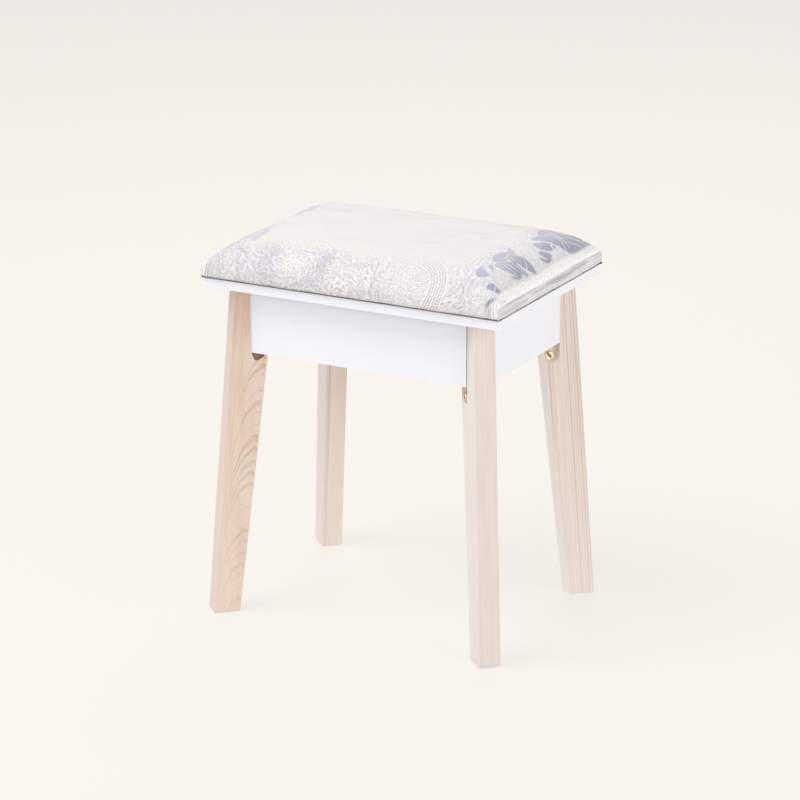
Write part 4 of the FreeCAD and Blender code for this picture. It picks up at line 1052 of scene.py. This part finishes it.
def cloth_tone_and_painted_light(w, rng):
    """How the cloth looks: a painted highlight that washes the figures out to quiet, almost plain floats on the flat of
    the seat, faint satin smudges, painted shade down the pulls and along the left end, smooth end bands with a painted
    highlight on their ridge and painted shade along their folds, painted shade and highlight in the corner gathers, and
    a painted shadow along the board.
    """
    S = (np.arange(w.ns) * w.ds - w.hs)[:, None]
    T = (np.arange(w.nt) * w.dt - w.ht)[None, :]
    wob = 9 * np.sin(S / 23.0 + 0.7) + 7 * np.sin(S / 11.0 + 2.0) + 6 * np.sin(T / 19.0 + S / 31.0)
    flat = ramp01(T + 0.5 * wob, -124, -84) * (1 - ramp01(T + 0.4 * wob, 92, 130))
    flat = flat * ramp01(S + 0.8 * wob, -176, -118) * (1 - ramp01(S + 0.7 * wob, 122, 156))
    w.flat[:] = flat
    # painted highlight: the figures wash out to almost plain pale floats on the flat of the seat
    keep = 1 - 0.90 * flat
    w.line *= keep
    w.tone[:] = w.tone * (1 - 0.85 * flat) + 0.93 * 0.85 * flat
    w.relief *= 1 - 0.55 * flat
    # faint silky smudges on the flat
    for cs, ct, rs, rt, a in ((85, 30, 30, 6, 0.20), (30, 4, 34, 5, 0.15), (50, -36, 16, 5, 0.16), (110, 14, 14, 4, 0.18), (-40, 60, 40, 7, 0.12), (-90, -6, 26, 5, 0.12), (-30, -64, 30, 6, 0.10),
                              (-120, 50, 26, 9, 0.2), (20, 96, 60, 6, 0.12), (100, 84, 30, 7, 0.18)):
        d = ((S - cs) / rs) ** 2 + ((T - ct - 0.1 * (S - cs)) / rt) ** 2
        w.ground += a * np.exp(-d) * (1 - w.ground)
    # painted shade, as bluish satin ground, in the pulls down the front, mirrored at the back, and along the left end
    for cs, t0, t1, wd, lean, a in ((-40, -108, -160, 9, 0.10, 0.55), (-112, -108, -172, 15, -0.25, 0.50), (-62, -140, -173, 16, 0.1, 0.22), (-150, -112, -172, 12, -0.35, 0.32), (40, -140, -172, 14, -0.05, 0.18), (150, -120, -172, 12, 0.2, 0.15)):
        mid, half = (t0 + t1) / 2, abs(t1 - t0) / 2 + 7
        body = np.clip(1 - ((T - mid) / half) ** 2, 0, 1)
        m = a * body * np.exp(-((S - cs - lean * (T - mid)) / wd) ** 2)
        w.ground[:] = w.ground + m * (0.75 - w.ground).clip(0)
        body = np.clip(1 - ((T + mid) / half) ** 2, 0, 1)
        m = a * body * np.exp(-((-S - cs - lean * (-T - mid)) / wd) ** 2)
        w.ground[:] = w.ground + m * (0.75 - w.ground).clip(0)
    left = 1 - ramp01(S + 0.6 * wob, -212, -150)
    w.ground[:] = w.ground + 0.30 * left * (0.7 - w.ground).clip(0)
    # more satin ground, and paler, quieter figures, towards the right end
    right = ramp01(S + 0.3 * wob, 150, 176)
    w.ground[:] = w.ground + 0.34 * right * (0.55 - w.ground).clip(0)
    quiet = right * (w.ground < 0.5)
    w.line *= 1 - 0.35 * quiet
    w.tone[:] = w.tone + (0.85 - w.tone) * 0.45 * quiet
    # end bands: a painted highlight along the ridge, then smooth silk with a few long dark lines painted as the shade
    # of the lengthwise folds
    for sg in (1, -1):
        s, t = sg * S, sg * T
        ridge_highlight = ramp01(s + 0.15 * wob, 196, 202) * (1 - ramp01(s, 210, 214))
        w.line *= 1 - 0.8 * ridge_highlight
        w.tone[:] = w.tone + (1.0 - w.tone) * 0.85 * ridge_highlight
        w.ground *= 1 - 0.85 * ridge_highlight
        band = ramp01(s, 210.5, 214.5)
        w.line *= 1 - 0.88 * band
        w.tone[:] = w.tone + (0.95 - w.tone) * 0.8 * band
        w.ground[:] = w.ground * (1 - band) + band * (0.20 + 0.12 * np.sin(t / 29.0 + 1.0) * np.sin(t / 13.0 + 0.3))
        w.relief *= 1 - 0.7 * band
        drift = 1.3 * np.sin(t / 37.0) + 0.5 * np.sin(t / 15.0)
        # painted shade: long dark lines along the band's lengthwise folds, with a little satin ground beside them
        for c, wd, t0, t1, a in ((216.0, 1.0, -30, 104, 0.95), (218.6, 0.7, -70, 60, 0.5), (214.2, 0.6, -150, -40, 0.6), (221.5, 0.7, -160, -60, 0.55), (226.5, 0.6, -140, 20, 0.4), (212.4, 0.6, 40, 150, 0.45), (224.0, 0.6, 60, 160, 0.35), (208.0, 0.7, -150, -108, 0.5)):
            on = ramp01(t, t0, t0 + 18) * (1 - ramp01(t, t1 - 18, t1))
            m = 0.7 * a * on * np.exp(-((s - c - 0.5 * drift) / wd) ** 2)
            w.line[:] = np.maximum(w.line, m)
            w.ground[:] = w.ground + 0.4 * on * np.exp(-((s - c - 0.5 * drift) / (2.6 * wd)) ** 2) * (0.8 - w.ground).clip(0)
    # painted shade in the troughs and painted highlight on the crests of the gathers beside the corners
    for sx, sy, ph in ((1, -1, 0.0), (-1, -1, 0.35), (1, 1, 0.2), (-1, 1, 0.6)):
        u = sx * S - 0.0
        d = w.ht - sy * T
        zone = ramp01(u, 183, 188) * (1 - ramp01(u, 203, 206)) * (1 - ramp01(d, 24, 38))
        wave = np.cos(2 * math.pi * ((u + 0.10 * d) / 4.7 + ph))
        w.line[:] = np.maximum(w.line * (1 - 0.6 * zone), 0.7 * zone * np.clip(-wave - 0.35, 0, 1) / 0.65)
        w.tone[:] = w.tone + (0.95 - w.tone) * 0.8 * zone * np.clip(wave, 0, 1)
    # painted shadow: a narrow dark band along the board, where the cover's edge stands off it
    rim = np.minimum(w.hs - np.abs(S), w.ht - np.abs(T))
    w.gap_shadow[:] = 1 - ramp01(rim, 1.7, 2.5)
    np.clip(w.ground, 0, 1, out=w.ground)
    np.clip(w.line, 0, 1, out=w.line)
    np.clip(w.tone, 0, 1, out=w.tone)


# ------------------------------------------------------------------ cushion cover: mesh and cloth


def surface_normals(P):
    n = np.cross(np.gradient(P, axis=0), np.gradient(P, axis=1))
    return n / np.maximum(np.linalg.norm(n, axis=-1, keepdims=True), 1e-12)


def halve(A):
    """Filter a raster and keep every second point each way."""
    B = np.pad(A, 1, mode="edge")
    B = 0.25 * B[:-2] + 0.5 * B[1:-1] + 0.25 * B[2:]
    B = 0.25 * B[:, :-2] + 0.5 * B[:, 1:-1] + 0.25 * B[:, 2:]
    return B[::2, ::2]


def damask_cloth():
    k = Mat("damask_cover")
    ground, line, tone = k.attr("ground"), k.attr("line"), k.attr("tone")
    relief, flat, gap_shadow = k.attr("relief"), k.attr("flat"), k.attr("gap_shadow")
    cl = k.attr("cloth", "Vector")
    # twill of the figure and the finer, flatter floats of the satin
    warp = k.node("ShaderNodeTexWave", wave_type="BANDS", bands_direction="DIAGONAL", wave_profile="SIN")
    k.put(warp.inputs["Vector"], k.mapping(cl, scale=(1.0, 0.75, 1.0)))
    warp.inputs["Scale"].default_value = 300.0
    warp.inputs["Distortion"].default_value = 0.6
    satin = k.node("ShaderNodeTexWave", wave_type="BANDS", bands_direction="Y", wave_profile="SIN")
    k.put(satin.inputs["Vector"], cl)
    satin.inputs["Scale"].default_value = 420.0
    satin.inputs["Distortion"].default_value = 0.4
    slub = k.noise(k.mapping(cl, scale=(0.05, 1.0, 1.0)), 900.0, 3.0, 0.6)
    slub2 = k.noise(k.mapping(cl, scale=(1.0, 0.06, 1.0)), 700.0, 2.0, 0.5)
    shade = k.noise(cl, 26.0, 3.0, 0.5)
    pale = k.mix(tone, srgb(206, 204, 208), srgb(243, 239, 232))
    pale = k.mix(k.remap(shade, 0.35, 0.7, 0.0, 0.20), pale, srgb(226, 222, 220))
    pale = k.mix(k.remap(slub, 0.45, 0.75, 0.0, 0.12), pale, srgb(214, 211, 212))
    # painted shade: the floats on the flat of the seat are a shade deeper, against the stronger light that falls there
    pale = k.mix(flat, pale, k.mix(1.0, pale, srgb(230, 229, 229), "MULTIPLY"))
    silk = k.mix(k.remap(slub, 0.3, 0.7, 0.0, 1.0), srgb(148, 147, 162), srgb(163, 162, 177))
    silk = k.mix(k.remap(slub2, 0.5, 0.8, 0.0, 0.4), silk, srgb(136, 135, 151))
    col = k.mix(ground, pale, silk)
    # broken lace of fine yarn between the figures
    cell = k.voronoi(k.vmath("ADD", cl, k.scale_vec(k.noise(cl, 260.0, 2.0, 0.5, out="Color"), 0.004)), 300.0, "DISTANCE_TO_EDGE")
    lace = k.math("MULTIPLY", k.remap(cell, 0.04, 0.16, 1.0, 0.0), k.remap(k.noise(cl, 330.0, 2.0, 0.6), 0.42, 0.62))
    # the lace fades on the satin ground and under the painted highlight on the flat of the seat
    lace = k.math("MULTIPLY", lace, k.math("MULTIPLY", k.math("SUBTRACT", 1.0, ground), k.math("SUBTRACT", 1.0, flat)))
    col = k.mix(k.math("MULTIPLY", lace, LACE_MIX), col, srgb(150, 148, 160))
    col = k.mix(k.math("MULTIPLY", line, LINE_MIX), col, srgb(112, 110, 126))
    # painted shadow along the board and on the turned-in hem
    col = k.mix(gap_shadow, col, srgb(44, 43, 50))
    rgh = k.mixf(ground, k.remap(slub, 0.3, 0.7, 0.58, 0.68), k.remap(slub, 0.3, 0.7, 0.30, 0.38))
    fine = k.mixf(ground, k.math("MULTIPLY", warp.outputs[1], 0.5), k.math("MULTIPLY", satin.outputs[1], 0.18))
    h = k.math("ADD", k.math("MULTIPLY", relief, 2.2), k.math("ADD", fine, k.math("MULTIPLY", slub, 0.25)))
    h = k.math("SUBTRACT", h, k.math("MULTIPLY", line, 0.9))
    k.set(Base_Color=col, Roughness=rgh, Normal=k.bump(h, 0.00022, 0.8), Metallic=k.math("MULTIPLY", ground, 0.12))
    k.b.inputs["Specular IOR Level"].default_value = 0.45
    k.b.inputs["Sheen Weight"].default_value = 0.18
    k.b.inputs["Sheen Roughness"].default_value = 0.45
    k.b.inputs["Sheen Tint"].default_value = (1.0, 0.98, 0.95, 1.0)
    return k.m


LINE_MIX, LACE_MIX = 0.72, 0.46


def make_cover():
    cx, cy, kf = 116, 86, 5
    D = cloth_folds(cx, cy)
    # the slow part of the swelling is taken out again, which leaves the folds on the measured outline
    F = FOLD_GAIN * (D - blur(D, 9, 8))
    nx, ny = cx * kf, cy * kf
    P, p, q = pad_grid(nx, ny)
    N = surface_normals(P)
    s, t = p * LX * 1000, q * LY * 1000
    w = damask(LX * 1000, LY * 1000, 2 * nx + 1, 2 * ny + 1)
    maps = {n: halve(getattr(w, n)) for n in ("ground", "line", "tone", "relief", "flat", "gap_shadow")}
    border = np.minimum(LX * 1000 - np.abs(s), LY * 1000 - np.abs(t))
    free = ramp01(border, 0.0, 7.0)[..., None]
    Q = P + stretch(F, cx, cy, kf) * free + N * (sewn_folds(P, N, s, t) * np.maximum(free[..., 0], 0.35))[..., None]
    Q = Q + surface_normals(Q) * (0.00014 * (maps["relief"] - 0.3) * free[..., 0])[..., None]
    Q[..., 2] = np.maximum(Q[..., 2], BOARD_TOP + LIFT - 0.0002)
    verts = [Q.reshape(-1, 3)]
    quads = [grid_quads(nx, ny)]
    rim = np.array(rim_of(nx, ny))
    m = len(rim)
    base = Q.reshape(-1, 3)[rim]
    # the hem turns in under the seat panel, and the lining closes round the panel
    loops, last = [], rim
    start = (nx + 1) * (ny + 1)
    hx, hy = PAD_X * 0.98, PAD_Y * 0.98
    for fx, fy, z in ((0.1975 / hx, 0.1395 / hy, 0.43178), (0.1715 / hx, 0.1135 / hy, 0.43178), (0.1715 / hx, 0.1135 / hy, 0.43216),
                      (0.1976 / hx, 0.1396 / hy, 0.43216), (0.1976 / hx, 0.1396 / hy, 0.4413)):
        ring = base * (fx, fy, 0) + (0, 0, z)
        verts.append(ring)
        now = np.arange(start, start + m)
        nxt = np.roll(np.arange(m), -1)
        quads.append(np.stack([last, now, now[nxt], last[nxt]], -1))
        last = now
        start += m
    V = np.concatenate(verts)
    Fq = np.concatenate(quads)
    me = bpy.data.meshes.new("damask_seat_cover")
    me.vertices.add(len(V))
    me.vertices.foreach_set("co", V.astype(np.float32).ravel())
    nl = Fq.size + m
    me.loops.add(nl)
    me.loops.foreach_set("vertex_index", np.r_[Fq.ravel(), last].astype(np.int32))
    me.polygons.add(len(Fq) + 1)
    me.polygons.foreach_set("loop_start", np.r_[np.arange(len(Fq)) * 4, Fq.size].astype(np.int32))
    me.polygons.foreach_set("loop_total", np.r_[np.full(len(Fq), 4), m].astype(np.int32))
    me.update(calc_edges=True)
    me.validate()
    me.polygons.foreach_set("use_smooth", np.ones(len(me.polygons), bool))
    extra = len(V) - (nx + 1) * (ny + 1)
    turns = extra // m
    for n, A in maps.items():
        flat = A.reshape(-1)
        a = me.attributes.new(n, "FLOAT", "POINT")
        # the turned-in hem also gets the painted shadow colour
        hem = np.full(m, {"gap_shadow": 1.0}.get(n, 0.0))
        a.data.foreach_set("value", np.r_[flat, np.tile(hem, turns)].astype(np.float32))
    C = np.stack([s, t, np.zeros_like(s)], -1).reshape(-1, 3) * 0.001
    a = me.attributes.new("cloth", "FLOAT_VECTOR", "POINT")
    a.data.foreach_set("vector", np.concatenate([C, np.tile(C[rim], (turns, 1))]).astype(np.float32).ravel())
    ob = bpy.data.objects.new("damask_seat_cover", me)
    scene.collection.objects.link(ob)
    me.materials.append(damask_cloth())
    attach(ob, "root")
    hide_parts("seat_cover")

    # the foam block under the cloth follows its folds
    cs = slice(None, None, kf)
    Fm = Q[cs, cs] - surface_normals(Q)[cs, cs] * 0.0016
    Fm[..., 0] = np.clip(Fm[..., 0], -PAD_X + 0.0012, PAD_X - 0.0012)
    Fm[..., 1] = np.clip(Fm[..., 1], -PAD_Y + 0.0012, PAD_Y - 0.0012)
    Fm[..., 2] = np.maximum(Fm[..., 2], 0.44135)
    me = bpy.data.meshes.new("foam_block")
    faces = [tuple(int(v) for v in f) for f in grid_quads(cx, cy)]
    faces.append(tuple(rim_of(cx, cy)[::-1]))
    me.from_pydata(Fm.reshape(-1, 3).tolist(), [], faces)
    me.polygons.foreach_set("use_smooth", np.ones(len(me.polygons), bool))
    fo = bpy.data.objects.new("foam_block", me)
    scene.collection.objects.link(fo)
    me.materials.append(foam_mat)
    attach(fo, "root")
    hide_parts("foam_pad")
    return ob


FOLD_GAIN = 0.5
cover = make_cover()


# ------------------------------------------------------------------ stage, light, camera


def stage_floor():
    me = bpy.data.meshes.new("studio_floor")
    s = 30.0
    me.from_pydata([(-s, -s, 0), (s, -s, 0), (s, s, 0), (-s, s, 0)], [], [(0, 1, 2, 3)])
    ob = bpy.data.objects.new("studio_floor", me)
    scene.collection.objects.link(ob)
    ob.location.z = -0.0006
    m = bpy.data.materials.new("pale_floor")
    m.use_nodes = True
    t = m.node_tree
    t.nodes.clear()
    out = t.nodes.new("ShaderNodeOutputMaterial")
    add = t.nodes.new("ShaderNodeAddShader")
    em = t.nodes.new("ShaderNodeEmission")
    di = t.nodes.new("ShaderNodeBsdfDiffuse")
    em.inputs["Color"].default_value = (*FLOOR_EMIT, 1.0)
    em.inputs["Strength"].default_value = 1.0
    di.inputs["Color"].default_value = (*FLOOR_DIFFUSE, 1.0)
    t.links.new(em.outputs[0], add.inputs[0])
    t.links.new(di.outputs[0], add.inputs[1])
    t.links.new(add.outputs[0], out.inputs["Surface"])
    me.materials.append(m)
    return ob


BACKGROUND = srgb(248, 243, 237)
FLOOR_DIFFUSE = (0.20, 0.19, 0.18)
FLOOR_EMIT = (0.712, 0.682, 0.641)
stage_floor()

world = bpy.data.worlds.new("studio")
scene.world = world
world.use_nodes = True
bg = world.node_tree.nodes["Background"]
bg.inputs["Color"].default_value = (0.93, 0.95, 1.0, 1.0)
bg.inputs["Strength"].default_value = 0.64


def area(name, loc, target, size, power, colour, size_y=None):
    d = bpy.data.lights.new(name, "AREA")
    d.shape = "RECTANGLE"
    d.size, d.size_y = size, size_y or size
    d.energy = power
    d.color = colour
    o = bpy.data.objects.new(name, d)
    scene.collection.objects.link(o)
    o.location = loc
    o.rotation_euler = (Vector(target) - Vector(loc)).to_track_quat("-Z", "Y").to_euler()
    return o


MID = (0.0, 0.0, 0.35)
area("key_softbox", (-1.2, -1.3, 2.9), MID, 1.8, 54.0, (1.0, 0.99, 0.97))
area("front_fill", (0.8, -3.2, 1.3), MID, 2.6, 15.0, (0.97, 0.98, 1.0))
area("left_fill", (-3.0, -1.4, 0.8), MID, 1.8, 10.0, (0.86, 0.92, 1.0))
area("right_fill", (3.0, -0.6, 1.1), MID, 2.2, 32.0, (0.98, 0.98, 1.0))
area("back_top", (-0.8, 2.2, 2.4), MID, 2.0, 24.0, (1.0, 0.98, 0.95))

cam_d = bpy.data.cameras.new("camera")
cam = bpy.data.objects.new("camera", cam_d)
scene.collection.objects.link(cam)
scene.camera = cam
cam_d.sensor_width = 36.0
cam_d.sensor_fit = "HORIZONTAL"
cam_d.lens = 130.493
cam_d.clip_start, cam_d.clip_end = 0.05, 100.0
cam.location = (1.601272, -3.012354, 1.384825)
cam.rotation_euler = (Vector((-0.004131, 0.0, 0.264158)) - Vector(cam.location)).to_track_quat("-Z", "Y").to_euler()
scene.view_settings.view_transform = "Standard"
scene.view_settings.look = "None"
